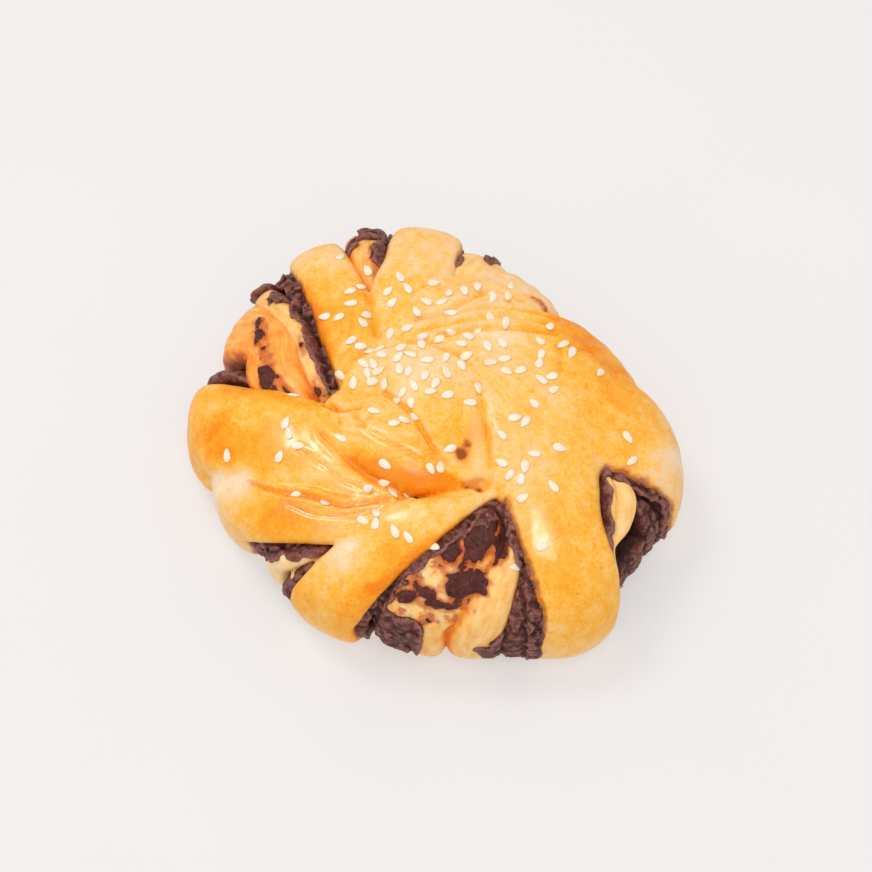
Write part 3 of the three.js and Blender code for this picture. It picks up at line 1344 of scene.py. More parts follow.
@dataclass
class Crust:
    """The glazed outer dough: straps, the knot at the crown, and the core and base under them."""

    block: VoxelBlock
    finish: CrustFinish = CrustFinish()
    outer: float = 4.5
    inner: float = 13.6
    gap_depth: float = 3.0
    gap_margin: float = 2.6
    core_depth: float = 12.0
    base_height: float = 2.4
    base_share: float = 0.8
    core_blend: float = 1.0
    base_blend: float = 2.5
    swirl_radius: float = 25.0
    swirl_outer: float = 50.0
    swirl_tightness: float = 2.4
    swirl_stretch: float = 0.18
    cap_place: tuple[float, float] = (11.0, 6.0)
    cap_radius: float = 27.0
    cap_depth: float = 2.6
    cap_edge: float = 2.0
    cap_bake: float = 0.42
    uneven: tuple[float, float] = (0.35, 0.14)
    crinkle: float = 0.07
    swell: LatticeNoise = LatticeNoise(9.0, 3)
    ripples: LatticeNoise = LatticeNoise(3.2, 4)
    puckers: LatticeNoise = LatticeNoise(1.4, 5)
    stained_lip: tuple[float, float] = (2.1, 0.3)
    flat_heights: tuple[float, float] = (1.0, 5.0)
    pale_heights: tuple[float, float] = (4.0, 16.0)
    pale_share: float = 0.65
    upper_heights: tuple[float, float] = (14.0, 22.0)
    pucker_hollows: tuple[float, float] = (0.0014, 0.009)
    crease_hollows: tuple[float, float] = (0.01, 0.055)
    straps: tuple[Band, ...] = (
        strap("right_sheet", [(13, 8, 2, 9, 0.5), (31, 6, 0.5, 11, 0.55), (41, -1, 0, 14.5, 0.58)],
              (-6, -0.8, 13.5, 0.45), blend=5.0, edge=2.6, paste=(Strip(Side.RIGHT, 1.4, 1.8, begin=0.3),)),
        strap("front_right", [(19, 2, 2, 9, 0.52), (25, -12, 0.5, 12, 0.5), (27.7, -22.1, 0, 12.6, 0.52),
                              (30.3, -32.2, 0, 11.6, 0.56)],
              (-53.7, -2.5, 10.8, 0.5), blend=5.0, edge=2.6, crown=2.4,
              paste=(Strip(Side.LEFT, 1.6, -1.5, begin=0.3), Strip(Side.RIGHT, 1.0, 2.0, 1.0, 0.36))),
        strap("back_right_low", [(2, 17, 3, 6, 0.36), (18, 20, 0.8, 7, 0.36), (33, 20, 0.8, 9.5, 0.78)],
              (20, 2.2, 13, 0.54), blend=3.5, ripple=0.34, ripple_pitch=4.4),
        strap("back_right_high", [(-1, 20, 3, 6, 0.36), (9, 28.5, 1, 8.6, 0.38), (19, 33.5, 1.2, 10, 0.32)],
              (58, 2.6, 12, 0.42),
              blend=2.4, ripple=0.32, ripple_pitch=5.2, paste=(Strip(Side.LEFT, 0.8, 0.8, begin=0.5),)),
        strap("knot_high", [(-18, 6, 3, 4.5, 0.5), (-10, 8, -0.2, 6.5, 0.46), (-1, 4.5, -0.8, 9, 0.42),
                            (4.5, -4, -0.5, 8.3, 0.54), (7.5, -11, 0.8, 6, 0.66), (9.5, -17, 3.5, 4, 0.5)],
              None, crown=2.0, edge=2.0, blend=3.0),
        strap("back", [(-8, 17, 3.5, 6, 0.46), (-6, 30, 0.5, 8.6, 0.44), (-2.5, 40, 0, 9.2, 0.36)],
              (90, -1.5, 8.5, 0.34),
              blend=2.0, paste=(Strip(Side.LEFT, 1.6, 2.0, begin=0.32),
                                Strip(Side.RIGHT, 0.4, 0.4, begin=0.4))),
        strap("back_left", [(-16, 4, 3, 5, 0.5), (-18.5, 14, 1, 6.6, 0.6), (-21.6, 28, 0.4, 7.4, 0.6)],
              (119.5, 0.8, 7.4, 0.38), blend=1.4, paste=(Strip(Side.LEFT, 3.4, 4.6),)),
        strap("left", [(-10, -22.5, 3.8, 4, 0.6), (-20, -17.5, 1.8, 8.5, 0.55), (-30, -10.5, 0.3, 12, 0.55),
                       (-46, -4.0, -0.2, 11.8, 0.6)], (176.5, -1.8, 11.3, 0.6), edge=2.6, crown=2.6),
        strap("front_left", [(-8, -26.5, 3.6, 3.5, 0.6), (-20, -29, 1.8, 6.6, 0.6),
                             (-34, -26, 1.2, 8.6, 0.6)],
              (-160.6, 1.5, 10.9, 0.36),
              edge=2.2, crown=2.2, blend=2.6, paste=(Strip(Side.LEFT, 3.4, 4.6, begin=0.3),)),
        strap("front", [(13.5, -23.5, 2.8, 2.4, 0.4), (3, -28.2, 1, 4.8, 0.5), (-6, -32.6, 0.6, 7.2, 0.52),
                        (-16, -39.5, 0.5, 7.8, 0.52)],
              (-120, -1, 8.5, 0.54),
              crown=1.4, edge=1.1, blend=0.9, lean=0.4, paste=(Strip(Side.LEFT, 2.4, 2.0),)),
        strap("knot_low", [(-21, 0, 3, 5, 0.5), (-16, -5.5, 0.6, 9, 0.5), (-11.5, -10.5, -0.1, 9.3, 0.54),
                           (-6, -15.8, 0.3, 8, 0.62),
                           (0, -20, 1.6, 5, 0.72), (5.5, -21.8, 3.6, 2.6, 0.7)],
              None, crown=2.2, edge=2.4, blend=0.7, lean=0.5),
    )
    grooves: tuple[Groove, ...] = (
        Groove(((-10.7, 1.3), (-5.6, -3.3), (-2.4, -7.8), (0.4, -12.7), (4.8, -17.5)), 0.6, 0.45),
        Groove(((-24.6, -9.0), (-19.5, -15.0), (-14.5, -19.3), (-8.5, -22.3)), 0.6, 0.8),
        Groove(((-17.5, -4.6), (-16.4, -6.4), (-15.0, -7.8)), 0.7, 0.6),
        Groove(((-16.8, -7.6), (-15.2, -6.4), (-13.8, -6.0)), 0.5, 0.6),
        Groove(((-24.2, -0.7), (-20.6, -2.4), (-16.6, -2.7)), 0.9, 0.7),
        Groove(((-3.0, -24.7), (2.2, -24.2), (8.9, -23.8)), 0.5, 0.8),
        Groove(((11.4, 3.1), (12.0, -2.6), (13.3, -8.8), (13.2, -17.4)), 0.3, 0.9),
        Groove(((-42.5, -17.9), (-35.3, -21.2), (-28.7, -22.9), (-20.7, -25.9), (-17.2, -25.7),
                (-10.0, -25.0)), 0.95, 0.6),
        Groove(((-32.5, -24.6), (-26.7, -27.6), (-19.5, -28.6), (-13.5, -27.4)), 0.3, 0.6),
        Groove(((-30.0, -12.5), (-24.5, -16.6), (-20.0, -20.4), (-14.0, -23.4)), 0.3, 0.6),
        Groove(((-15.0, -8.5), (-10.5, -11.5), (-6.0, -13.6), (-1.5, -16.0)), 0.3, 0.6),
        Groove(((-21.3, 5.9), (-15.3, 12.1), (-7.7, 14.2), (-1.7, 14.2), (4.9, 11.8), (9.0, 8.6)),
               0.55, 0.8),
        Groove(((-4.6, 15.2), (2.4, 14.4), (6.3, 11.2)), 0.4, 0.8),
        Groove(((-15.0, 29.4), (-14.1, 23.7), (-12.5, 17.8)), 0.4, 0.9),
        Groove(((29.7, 14.9), (30.4, 11.5), (29.9, 8.1)), 0.5, 0.8),
        Groove(((33.6, 15.2), (36.0, 15.9), (38.3, 16.1)), 0.4, 0.9),
    )
    wrinkles: tuple[Groove, ...] = (
        Groove(((-3.1, 21.5), (4.8, 24.2), (14.4, 30.6), (22.3, 30.0)), 0.75, 0.75),
        Groove(((-1.5, 18.6), (7.9, 20.9), (18.2, 22.9), (26.9, 22.4)), 0.7, 0.75),
        Groove(((2.4, 16.7), (12.6, 18.7), (22.1, 19.3), (29.2, 19.0)), 0.65, 0.7),
        Groove(((4.0, 22.0), (12.0, 25.0), (22.0, 26.2), (30.0, 25.0)), 0.6, 0.65),
    )
    toasted: tuple[Groove, ...] = (
        Groove(((-17.0, -15.5), (-12.0, -18.3), (-7.0, -20.3), (0.0, -21.3), (4.0, -21.0)), 0.34, 2.8),
        Groove(((-23.5, 12.0), (-26.0, 20.0), (-28.6, 28.0), (-30.0, 32.0)), 0.3, 1.8),
        Groove(((12.5, -7.0), (13.3, -11.0), (13.5, -17.0)), 0.2, 0.8),
        Groove(((10.0, -29.5), (5.5, -32.5), (1.0, -35.0), (-4.0, -38.2), (-9.0, -41.8), (-13.0, -44.0)),
               0.3, 1.5),
        Groove(((-48.0, 6.5), (-40.0, 4.0), (-32.0, 0.5), (-26.0, -1.5)), 0.2, 1.6),
    )
    sheens: tuple[Groove, ...] = (
        Groove(((-34.0, -9.5), (-24.8, -14.7), (-21.7, -18.1), (-18.7, -21.9), (-12.0, -24.3)), 1.2, 4.0),
        Groove(((-33.0, -23.5), (-26.7, -26.9), (-21.7, -28.2), (-14.2, -27.0), (-8.0, -27.5)), 1.0, 3.6),
        Groove(((-14.5, -9.0), (-9.6, -12.6), (-3.6, -15.4)), 0.65, 3.4),
        Groove(((19.0, -5.0), (21.6, -15.1), (23.8, -26.0), (25.5, -34.0)), 1.2, 3.6),
        Groove(((-22.0, -34.0), (-12.0, -30.0), (0.0, -28.0)), 0.25, 4.0),
        Groove(((30.0, 2.0), (36.0, -6.0)), 0.3, 8.0), Groove(((-20.0, 14.0), (-22.0, 26.0)), 0.3, 5.0),
    )
    dents: tuple[Mark, ...] = (
        Mark(8.8, -15.5, 3.0, 1.5), Mark(10.8, -10.0, 2.6, 0.8), Mark(11.4, -19.0, 2.4, 0.9),
        Mark(-16.0, -6.4, 1.7, 0.7), Mark(11.5, -21.5, 1.8, 0.8), Mark(24.0, 17.0, 3.0, 0.4),
    )
    # Changes of bake: browning and paler dough, and the negative marks at (-3, 6), (-20, -36), (21, -20) and
    # (-24, -15.5), which pale the glossy flanks as painted highlight.
    browning_and_painted_highlights: tuple[Mark, ...] = (
        Mark(-50.0, -3.5, 4.0, 0.3), Mark(-48.5, -9.5, 4.0, 0.26), Mark(-41.0, -13.0, 6.0, 0.12),
        Mark(-30.0, -28.0, 7.0, 0.12), Mark(-38.0, -26.0, 5.0, 0.12), Mark(-6.5, 30.0, 5.0, 0.14),
        Mark(45.0, 8.0, 9.0, 0.14), Mark(30.0, -42.0, 6.0, 0.12), Mark(26.0, -30.0, 4.0, 0.1),
        Mark(-55.0, -8.0, 3.0, -0.16), Mark(-51.0, -14.0, 3.4, -0.5), Mark(-44.5, -16.5, 3.2, -0.56),
        Mark(59.0, 2.0, 3.6, -0.3), Mark(58.0, 10.0, 3.6, -0.3), Mark(57.0, -8.0, 3.6, -0.3),
        Mark(-3.0, 6.0, 8.0, -0.12), Mark(-20.0, -36.0, 4.0, -0.4), Mark(21.0, -20.0, 3.5, -0.14),
        Mark(-24.0, -15.5, 3.0, -0.14), Mark(-16.0, -46.0, 5.0, 0.2), Mark(53.0, -13.0, 5.0, -0.24),
        Mark(-8.0, -36.0, 5.0, 0.14), Mark(-26.0, 24.0, 4.0, 0.18), Mark(-22.0, 38.0, 5.0, -0.12),
        Mark(15.0, 16.0, 6.0, -0.1),
    )
    stains: tuple[Mark, ...] = (
        Mark(7.1, -14.3, 1.7, 1.3), Mark(8.4, -12.2, 1.3, 0.9), Mark(11.3, -22.4, 1.2),
        Mark(-48.5, -9.0, 0.8, 0.6), Mark(-14.5, -43.5, 1.2, 0.6), Mark(-20.0, -41.5, 0.9, 0.5),
        Mark(1.5, -2.4, 1.2, 0.3), Mark(23.5, -47.5, 2.2, 0.7), Mark(25.2, 32.2, 1.1, 0.9),
        Mark(26.2, 31.6, 1.2), Mark(27.2, 30.9, 1.2), Mark(28.2, 30.1, 1.2), Mark(29.2, 29.2, 1.2),
        Mark(30.2, 28.2, 1.1, 0.9),
    )
    veils: tuple[Groove, ...] = (
        Groove(((10.0, -6.0), (10.6, -11.0), (10.6, -15.0), (11.0, -19.5)), 0.65, 2.6),
        Groove(((12.0, 3.5), (13.4, 1.0)), 0.7, 1.6),
        Groove(((-2.0, 21.6), (3.0, 23.4), (9.0, 25.4)), 0.8, 2.0),
        Groove(((-52.5, -13.0), (-47.0, -16.4), (-42.0, -18.6)), 0.6, 2.6),
        Groove(((38.6, -14.4), (41.0, -15.2)), 0.9, 1.6),
        Groove(((-27.0, -33.0), (-21.0, -30.0)), 0.5, 2.0),
    )

    def distance(self) -> np.ndarray:
        """Signed distances to the crust on the block's grid.

        Returns:
            The distances, below 0 inside.
        """
        dome = self.block.dome
        depths = self.block.depths
        cloud = self.block.cloud((depths > -self.outer) & (depths < self.inner))
        solid = self._cap(cloud.surface, cloud.depth)
        for band in self.straps:
            read = band.read(dome, cloud.surface, cloud.depth)
            solid[read.index] = smooth_join(solid[read.index], read.distance, band.blend)
        solid = smooth_join(solid, self.core_depth - cloud.depth, self.core_blend)
        x, y, z = cloud.points.T
        share = np.hypot(x, y) / dome.plan_radius(np.arctan2(y, x))
        base = np.maximum(z - self.base_height, (share - self.base_share) * dome.mean_radius)
        solid = smooth_join(solid, base, self.base_blend)
        return self.block.fill(cloud, solid, np.where(depths > 0, -FAR, FAR))

    def gaps(self, distance: np.ndarray) -> np.ndarray:
        """A mask of the grid's points in the gaps between the straps, and a little into the dough.

        Args:
            distance: The crust's signed distances.

        Returns:
            The mask.
        """
        depths = self.block.depths
        space = (distance > 0) & (depths > self.gap_depth) & (depths < self.inner)
        return self.block.widened(space, self.gap_margin) & (depths > -self.gap_margin)

    def build(self, distance: np.ndarray, to_paste: Callable[[np.ndarray], np.ndarray]) -> bpy.types.Object:
        """Makes the piece.

        Args:
            distance: The solid's signed distances.
            to_paste: Gives the distances of points to the paste, which stains the crust's edges.

        Returns:
            The crust.
        """
        shape = self.block.net(distance)
        shape.relax(3)
        self._press(shape)
        self._measure(shape)
        gap = np.minimum(to_paste(shape.vertices), 4.0)
        for _ in range(3):
            gap = shape.around(gap)
        shape.numbers["lip"] = smooth_step(*self.stained_lip, gap)
        return shape.build(PieceName.CRUST, self.finish.material(), floor_cut=True)

    def _cap(self, surface: np.ndarray, depth: np.ndarray) -> np.ndarray:
        """Distances to the sheet that joins the straps round the knot.

        Args:
            surface: Places on the dome.
            depth: Depths under it.

        Returns:
            The signed distances.
        """
        offset = np.linalg.norm(surface - self.block.dome.crown_at(*self.cap_place), axis=1)
        face = np.maximum(self.cap_depth - depth, depth - self.core_depth - 1)
        return np.minimum(rounded_section(offset - self.cap_radius, face, self.cap_edge), FAR)

    def _press(self, shape: Shape) -> None:
        """Makes the surface uneven and presses the grooves and dents into it.

        Args:
            shape: The crust's mesh.
        """
        normals = shape.normals()
        push = self.uneven[0] * self.swell.at(shape.vertices)
        push += self.uneven[1] * self.ripples.at(shape.vertices)
        # Groove depths, browned in the crust's colour as painted crease shade.
        seam = np.zeros(len(push))
        surface = self.block.dome.settle(shape.vertices)[0]
        for groove in self.grooves + self.wrinkles:
            near, gap = groove.gaps(self.block.dome, surface)
            push[near] += groove.press(gap)
            if groove in self.grooves:
                seam[near] = np.maximum(seam[near], groove.depth * np.exp(-(gap**2)))
        for dent in self.dents:
            push -= dent.share(shape.vertices)
        upper = smooth_step(*self.upper_heights, shape.vertices[:, 2])
        pucker = smooth_step(*self.pucker_hollows, shape.hollows(14)) * upper
        push += self.crinkle * pucker * self.puckers.at(self._swirl(shape.vertices))
        shape.numbers["pucker"] = pucker
        shape.numbers["seam"] = seam
        push *= smooth_step(*self.flat_heights, shape.vertices[:, 2])
        shape.vertices += push[:, None] * normals

    def _measure(self, shape: Shape) -> None:
        """Gives each vertex its bake, crease, stain and veil, and its place on the swirl.

        Args:
            shape: The crust's mesh.
        """
        dome, numbers = self.block.dome, shape.numbers
        surface, _, depth = dome.settle(shape.vertices)
        weight = np.exp(-np.clip(self._cap(surface, depth), -2, 8)) + 1e-4
        bake = self.cap_bake * weight
        for band in self.straps:
            read = band.read(dome, surface, depth)
            share = np.exp(-np.clip(read.distance, -2, 8) / 0.7)
            bake[read.index] += share * read.bake
            weight[read.index] += share
        foot = smooth_step(*self.pale_heights, shape.vertices[:, 2])
        # The marks brown the crust, and pale some glossy flanks as painted highlight.
        marks = sum(mark.share(surface) for mark in self.browning_and_painted_highlights)
        numbers["bake"] = bake / weight * (self.pale_share + (1 - self.pale_share) * foot) + marks
        for line in self.toasted:
            near, gap = line.gaps(dome, surface)
            numbers["bake"][near] += line.depth * np.exp(-(gap**2))
        # Hollowness, which deepens the crust's colour as painted crease shade.
        numbers["crease"] = smooth_step(*self.crease_hollows, shape.hollows(1))
        for key, lines in (("gloss", self.sheens), ("veil", self.veils)):
            numbers[key] = np.zeros(len(surface))
            for line in lines:
                near, gap = line.gaps(dome, surface)
                numbers[key][near] = np.maximum(numbers[key][near], line.depth * np.exp(-(gap**2)))
        numbers["stain"] = np.maximum.reduce([mark.share(surface) for mark in self.stains])
        numbers["swirl"] = self._swirl(surface) * MM

    def _swirl(self, surface: np.ndarray) -> np.ndarray:
        """Coordinates in which the straps run along the first axis, without a seam.

        Args:
            surface: Places on the dome.

        Returns:
            The coordinates, in millimetres.
        """
        radius = np.clip(np.hypot(surface[:, 0], surface[:, 1]), 6.0, self.swirl_outer)
        wound = self.swirl_tightness * (np.log(radius) - radius / self.swirl_outer)
        turn = np.arctan2(surface[:, 1], surface[:, 0]) + wound
        far = np.hypot(surface[:, 0], surface[:, 1]) - surface[:, 2]
        round_x, round_y = self.swirl_radius * np.cos(turn), self.swirl_radius * np.sin(turn)
        return np.stack((self.swirl_stretch * far, round_x, round_y), axis=1)


@dataclass
class InnerFolds:
    """Folds of the same dough that show in the gaps between the straps."""

    block: VoxelBlock
    finish: FoldFinish = FoldFinish()
    folds: tuple[Band, ...] = (
        strap("front_left_tongue", [(-27, -36, 5, 2.2, 0.12), (-31, -36.4, 3.4, 3, 0.1)],
              (-138, 3.2, 3.8, 0.14)),
        strap("front_left_under", [(-27.5, -38.5, 5.5, 2, 0.14), (-31, -40, 4, 2.8, 0.14)],
              (-130, 3.2, 3.4, 0.2)),
        strap("front_torn", [(14.5, -27, 4, 3, 0.6), (11, -33.5, 2.6, 6, 0.6), (7, -39.5, 2, 8.5, 0.44),
                             (1, -45.5, 1.8, 9.5, 0.34)],
              (-96, 1.8, 8.5, 0.45), torn=1.0),
        strap("front_tip", [(2, -46.5, 3.4, 2.6, 0.5)], (-91, 0.7, 4.6, 0.5), edge=3.0),
        strap("front_smooth", [(18.5, -27, 4, 1.6, 0.46), (18.9, -34, 2.4, 2.4, 0.48),
                               (18, -40, 1.9, 3.6, 0.46), (15.5, -45.5, 1.5, 5.2, 0.44)],
              (-79, 0.9, 6.5, 0.45)),
        strap("right_inner", [(41, -15.5, 2.8, 1.8, 0.5), (41.9, -21, 1.6, 2.2, 0.46),
                              (42.2, -28, 1.8, 2.0, 0.46), (41.8, -34, 2.6, 1.6, 0.5)],
              (-41.5, 7.5, 2.0, 0.5)),
        strap("right_pale", [(43, -16, 3.2, 2.2, 0.42), (45.8, -21.5, 1.2, 3.6, 0.36),
                             (45.2, -28, 1.5, 3.2, 0.38), (42.8, -34.5, 2.6, 2.2, 0.44)],
              (-39.5, 7.4, 2.4, 0.44)),
        strap("back_right", [(7, 35, 3.4, 5, 0.4), (11, 41, 1.8, 6.4, 0.4)], (72, 1.8, 8.5, 0.4)),
        strap("back", [(-14.2, 34.5, 4, 2, 0.6), (-15, 42, 1.6, 4.6, 0.56)], (106, 0.6, 6.2, 0.5)),
        strap("left_inner", [(-25.2, 1, 4.5, 1.8, 0.45), (-28.3, 11, 2.2, 3, 0.42),
                             (-31.4, 20.5, 1.7, 3, 0.44)], (136, 3.8, 5, 0.5)),
        strap("left_outer", [(-33, 2, 5, 5, 0.6), (-37.5, 11, 2.6, 9, 0.68), (-39, 21, 2.2, 8.6, 0.7)],
              (149, 3.0, 10, 0.54),
              ripple=0.2, ripple_pitch=5.0),
    )
    left_on: tuple[Coat, ...] = (
        Coat(11.6, -33.8, 68, 7.0, 3.1), Coat(16.2, -35.6, 80, 7.2, 1.8),
        Coat(8.0, -44.2, 10, 4.7, 3.2, power=6.0), Coat(5, -37.4, 60, 2.4, 1.8),
        Coat(-1.4, -45.4, -48, 3.8, 1.7, faint=0.45), Coat(2.8, -48, -20, 5.2, 1.6, faint=0.35),
        Coat(-5.4, -46.2, 15, 3.4, 1.9, faint=0.5), Coat(-6.5, -43.6, 35, 2.6, 1.2, faint=0.5),
        Coat(-41.6, 24.5, 100, 1.6, 1.2, faint=0.1, power=6.0), Coat(-40.6, 20.6, 100, 2.2, 1.3, power=6.0),
        Coat(-39.5, 15.9, 100, 1.5, 1.1, faint=0.1, power=6.0), Coat(-39, 8.6, 100, 3.8, 2.0),
        Coat(-30.2, 15.5, 105, 2.4, 0.8, faint=0.5), Coat(-11.8, 42.5, 97, 6.5, 2.4),
        Coat(-35, 5.5, 120, 3.0, 0.8, faint=0.2), Coat(-26.5, 3.5, 110, 2.4, 1.0, faint=0.3),
    )
    coat_height: float = 0.9
    coat_crumbs: Cells = Cells(1.5, 15)
    blend: float = 0.6
    torn_depth: float = 0.35
    tears: tuple[LatticeNoise, LatticeNoise] = (LatticeNoise(2.2, 11), LatticeNoise(1.1, 12))
    frays: tuple[LatticeNoise, LatticeNoise] = (LatticeNoise(1.7, 13), LatticeNoise(0.9, 14))
    rim_bake: float = 0.34
    tuck: float = 1.5

    def distance(self, gaps: Cloud) -> np.ndarray:
        """Signed distances to the folds at the gaps' points.

        Args:
            gaps: The points in and near the gaps.

        Returns:
            The distances, below 0 inside.
        """
        solid = np.full(len(gaps.points), FAR)
        rough = self.tears[0].at(gaps.points) + 0.6 * self.tears[1].at(gaps.points)
        for fold in self.folds:
            read = fold.read(self.block.dome, gaps.surface, gaps.depth)
            torn = read.distance + self.torn_depth * fold.torn * rough[read.index]
            solid[read.index] = smooth_join(solid[read.index], torn, self.blend)
        near = np.flatnonzero(np.abs(solid) < 1.5)
        edge = self._paste_edge(gaps.surface[near], gaps.points[near])
        crumbs = 0.75 + 0.5 * self.coat_crumbs.chunks(gaps.points[near])
        solid[near] -= self.coat_height * crumbs * smooth_step(0.35, -0.35, edge)
        return solid

    def _paste_edge(self, surface: np.ndarray, points: np.ndarray) -> np.ndarray:
        """How far points are past the ragged edges of the paste that is left on the folds."""
        edge = np.minimum.reduce([coat.outline(self.block.dome, surface) for coat in self.left_on])
        return edge + 0.7 * self.frays[0].at(points) + 0.4 * self.frays[1].at(points)

    def build(self, gaps: Cloud, distance: np.ndarray, crust: np.ndarray) -> bpy.types.Object:
        """Makes the piece.

        Args:
            gaps: The points in and near the gaps.
            distance: The folds' signed distances there.
            crust: The crust's signed distances there, to leave out what is deep inside it.

        Returns:
            The folds.
        """
        shape = self.block.net(self.block.fill(gaps, np.maximum(distance, -crust - self.tuck), FAR))
        shape.relax(2)
        dome = self.block.dome
        surface, _, depth = dome.settle(shape.vertices)
        count = len(surface)
        nearest = np.full(count, FAR)
        numbers = {key: np.zeros(count) for key in ("bake", "torn", "along", "across")}
        for k, fold in enumerate(self.folds):
            read = fold.read(dome, surface, depth)
            closer = read.distance < nearest[read.index]
            i = read.index[closer]
            nearest[i] = read.distance[closer]
            rim = smooth_step(0.55, 1.0, np.abs(read.across[closer]) / read.half_width[closer])
            numbers["bake"][i] = read.bake[closer] + self.rim_bake * rim
            numbers["torn"][i] = fold.torn
            numbers["along"][i] = (read.along[closer] + 40 * k) * MM
            numbers["across"][i] = (read.across[closer] + 23 * k) * MM
        numbers["paste"] = self._paste_edge(surface, shape.vertices)
        shape.numbers = numbers
        return shape.build(PieceName.FOLDS, self.finish.material(), floor_cut=True)


@dataclass
class BeanPaste:
    """Dark paste in the gaps: strips along the straps' edges, lumps on the folds and a layer below."""

    block: VoxelBlock
    finish: PasteFinish = PasteFinish()
    layer_depth: float = 9.6
    bottom: float = 12.6
    tuck: float = 1.5
    strip_coat: float = 0.5
    lump_height: float = 1.5
    blend: float = 0.4
    chunks: tuple[Cells, Cells] = (Cells(4.2, 31), Cells(1.5, 32))
    bends: LatticeNoise = LatticeNoise(1.6, 33)
    grains: tuple[LatticeNoise, LatticeNoise] = (LatticeNoise(2.4, 34), LatticeNoise(1.1, 35))
    widths: LatticeNoise = LatticeNoise(5.0, 21)
    frays: tuple[LatticeNoise, LatticeNoise] = (LatticeNoise(2.6, 22), LatticeNoise(1.3, 23))
    # Depths over which the paste darkens: painted recess shade.
    recess_shade_depths: tuple[float, float] = (4.5, 8.5)
    lumps: tuple[Coat, ...] = (
        Coat(12.5, -28.5, 60, 4.5, 2.6, 0.5), Coat(-9.5, -49, 10, 7.5, 8, 1.2, 17.0),
        Coat(-12.5, -46, 35, 4.0, 2.4, 1.0), Coat(19.0, -50.5, 15, 6.0, 5.0, 1.2, 15.0),
        Coat(22.5, -46.5, 60, 3.4, 2.0, 1.0), Coat(-27.0, -36.2, 0, 3.0, 1.6, 1.0),
        Coat(-35.5, 33.5, 30, 4.6, 3.0, 1.4), Coat(-11.5, 51.2, 10, 5.5, 3.4, 1.8),
        Coat(-11.4, 43.5, 97, 6.0, 2.2, 1.2), Coat(-19.5, 46.6, 30, 2.0, 1.6, 1.0),
        Coat(23.0, -48.5, 60, 3.6, 3.0, 1.4, 17.0), Coat(14.5, -51.5, 10, 4.0, 2.6, 1.0, 13.0),
        Coat(-35.0, 37.2, 40, 5.6, 5.0, 3.0, 21.0),
    )
    ridges: tuple[Band, ...] = (
        strap("front_left_lump", [(-29.5, -38.8, 5.4, 1.2, 0)], (-131.5, 2.6, 2.6, 0, (12.0, 7.0, 2.5)),
              crown=1.0, edge=1.2),
        strap("left_wedge", [(-45.5, 10.5, 5.0, 1.2, 0), (-50, 13.4, 3.8, 1.8, 0)], (164.5, 3.0, 2.4, 0),
              crown=1.0, edge=1.2),
        strap("right_upper", [(49, -19.5, 5.4, 1.6, 0)], (-23.5, 4.8, 4.4, 0, (21.0, 12.0, 2.5)),
              crown=1.0, edge=1.4),
        strap("right_middle", [], (-31, 5.6, 5.0, 0, (18.0, 10.0, 2.5)), crown=1.0, edge=1.6),
        strap("right_lower", [], (-38.5, 5.8, 4.6, 0, (16.0, 9.0, 2.5)), crown=1.0, edge=1.6),
        strap("front_chunks", [(21.4, -42, 3.2, 1.4, 0), (21, -47, 2.6, 2.8, 0)], (-68.5, 1.8, 4.0, 0),
              crown=1.0, edge=1.6),
    )

    def distance(
        self, gaps: Cloud, crust: np.ndarray, folds: np.ndarray, straps: tuple[Band, ...]
    ) -> np.ndarray:
        """Signed distances to the paste.

        Args:
            gaps: The points in and near the gaps.
            crust: The crust's signed distances there.
            folds: The folds' signed distances there.
            straps: The straps that have paste along their edges.

        Returns:
            The distances at those points.
        """
        plain = np.full(len(gaps.index), 0.5 * self.lump_height)
        distance = self._spread(gaps, crust, folds, straps, plain)
        near = np.flatnonzero(np.abs(distance) < self.lump_height + 0.5)
        some = gaps.part(near)
        bent = some.points + 0.5 * self.bends.at(some.points)[:, None]
        crumbs = 0.45 * self.chunks[0].chunks(bent) + 0.15 * self.chunks[1].chunks(bent)
        crumbs += 0.28 + 0.24 * self.grains[0].at(some.points) + 0.14 * self.grains[1].at(some.points)
        distance[near] = self._spread(some, crust[near], folds[near], straps, self.lump_height * crumbs)
        return distance

    def _spread(
        self,
        gaps: Cloud,
        crust: np.ndarray,
        folds: np.ndarray,
        straps: tuple[Band, ...],
        crumbs: np.ndarray,
    ) -> np.ndarray:
        """Signed distances to the paste where crumbs of given heights stand on it.

        Args:
            gaps: The points in and near the gaps.
            crust: The crust's signed distances there.
            folds: The folds' signed distances there.
            straps: The straps that have paste along their edges.
            crumbs: The crumbs' heights there.

        Returns:
            The distances at those points.
        """
        dome = self.block.dome
        ragged = 0.9 * self.frays[0].at(gaps.points) + 0.6 * self.frays[1].at(gaps.points)
        wander = 1 + 0.4 * self.widths.at(gaps.points)
        paste = self.layer_depth - crumbs - gaps.depth
        for band in (band for band in straps if band.paste):
            read = band.read(dome, gaps.surface, gaps.depth)
            i = read.index
            coat = folds[i] - self.strip_coat - 0.6 * crumbs[i]
            for strip in band.paste:
                top = read.depth + band.crown + strip.sunk - 1.5 * crumbs[i]
                face = np.minimum(top - gaps.depth[i], coat)
                past = strip.side.value * read.across - read.half_width
                slab = rounded_section(past - strip.width(read.run) * wander[i] - ragged[i], face, 0.4)
                paste[i] = smooth_join(paste[i], np.maximum(slab, -self.tuck - past), self.blend)
        for ridge in self.ridges:
            read = ridge.read(dome, gaps.surface, gaps.depth)
            crumbed = read.distance - crumbs[read.index]
            paste[read.index] = smooth_join(paste[read.index], crumbed, self.blend)
        for lump in self.lumps:
            outline = lump.outline(dome, gaps.surface) + ragged
            face = folds - lump.thickness * 0.5 - 0.7 * crumbs
            paste = np.minimum(paste, rounded_section(outline, face, 0.3))
        paste = np.maximum(paste, gaps.depth - self.bottom)
        return np.maximum(paste, -crust - self.tuck)

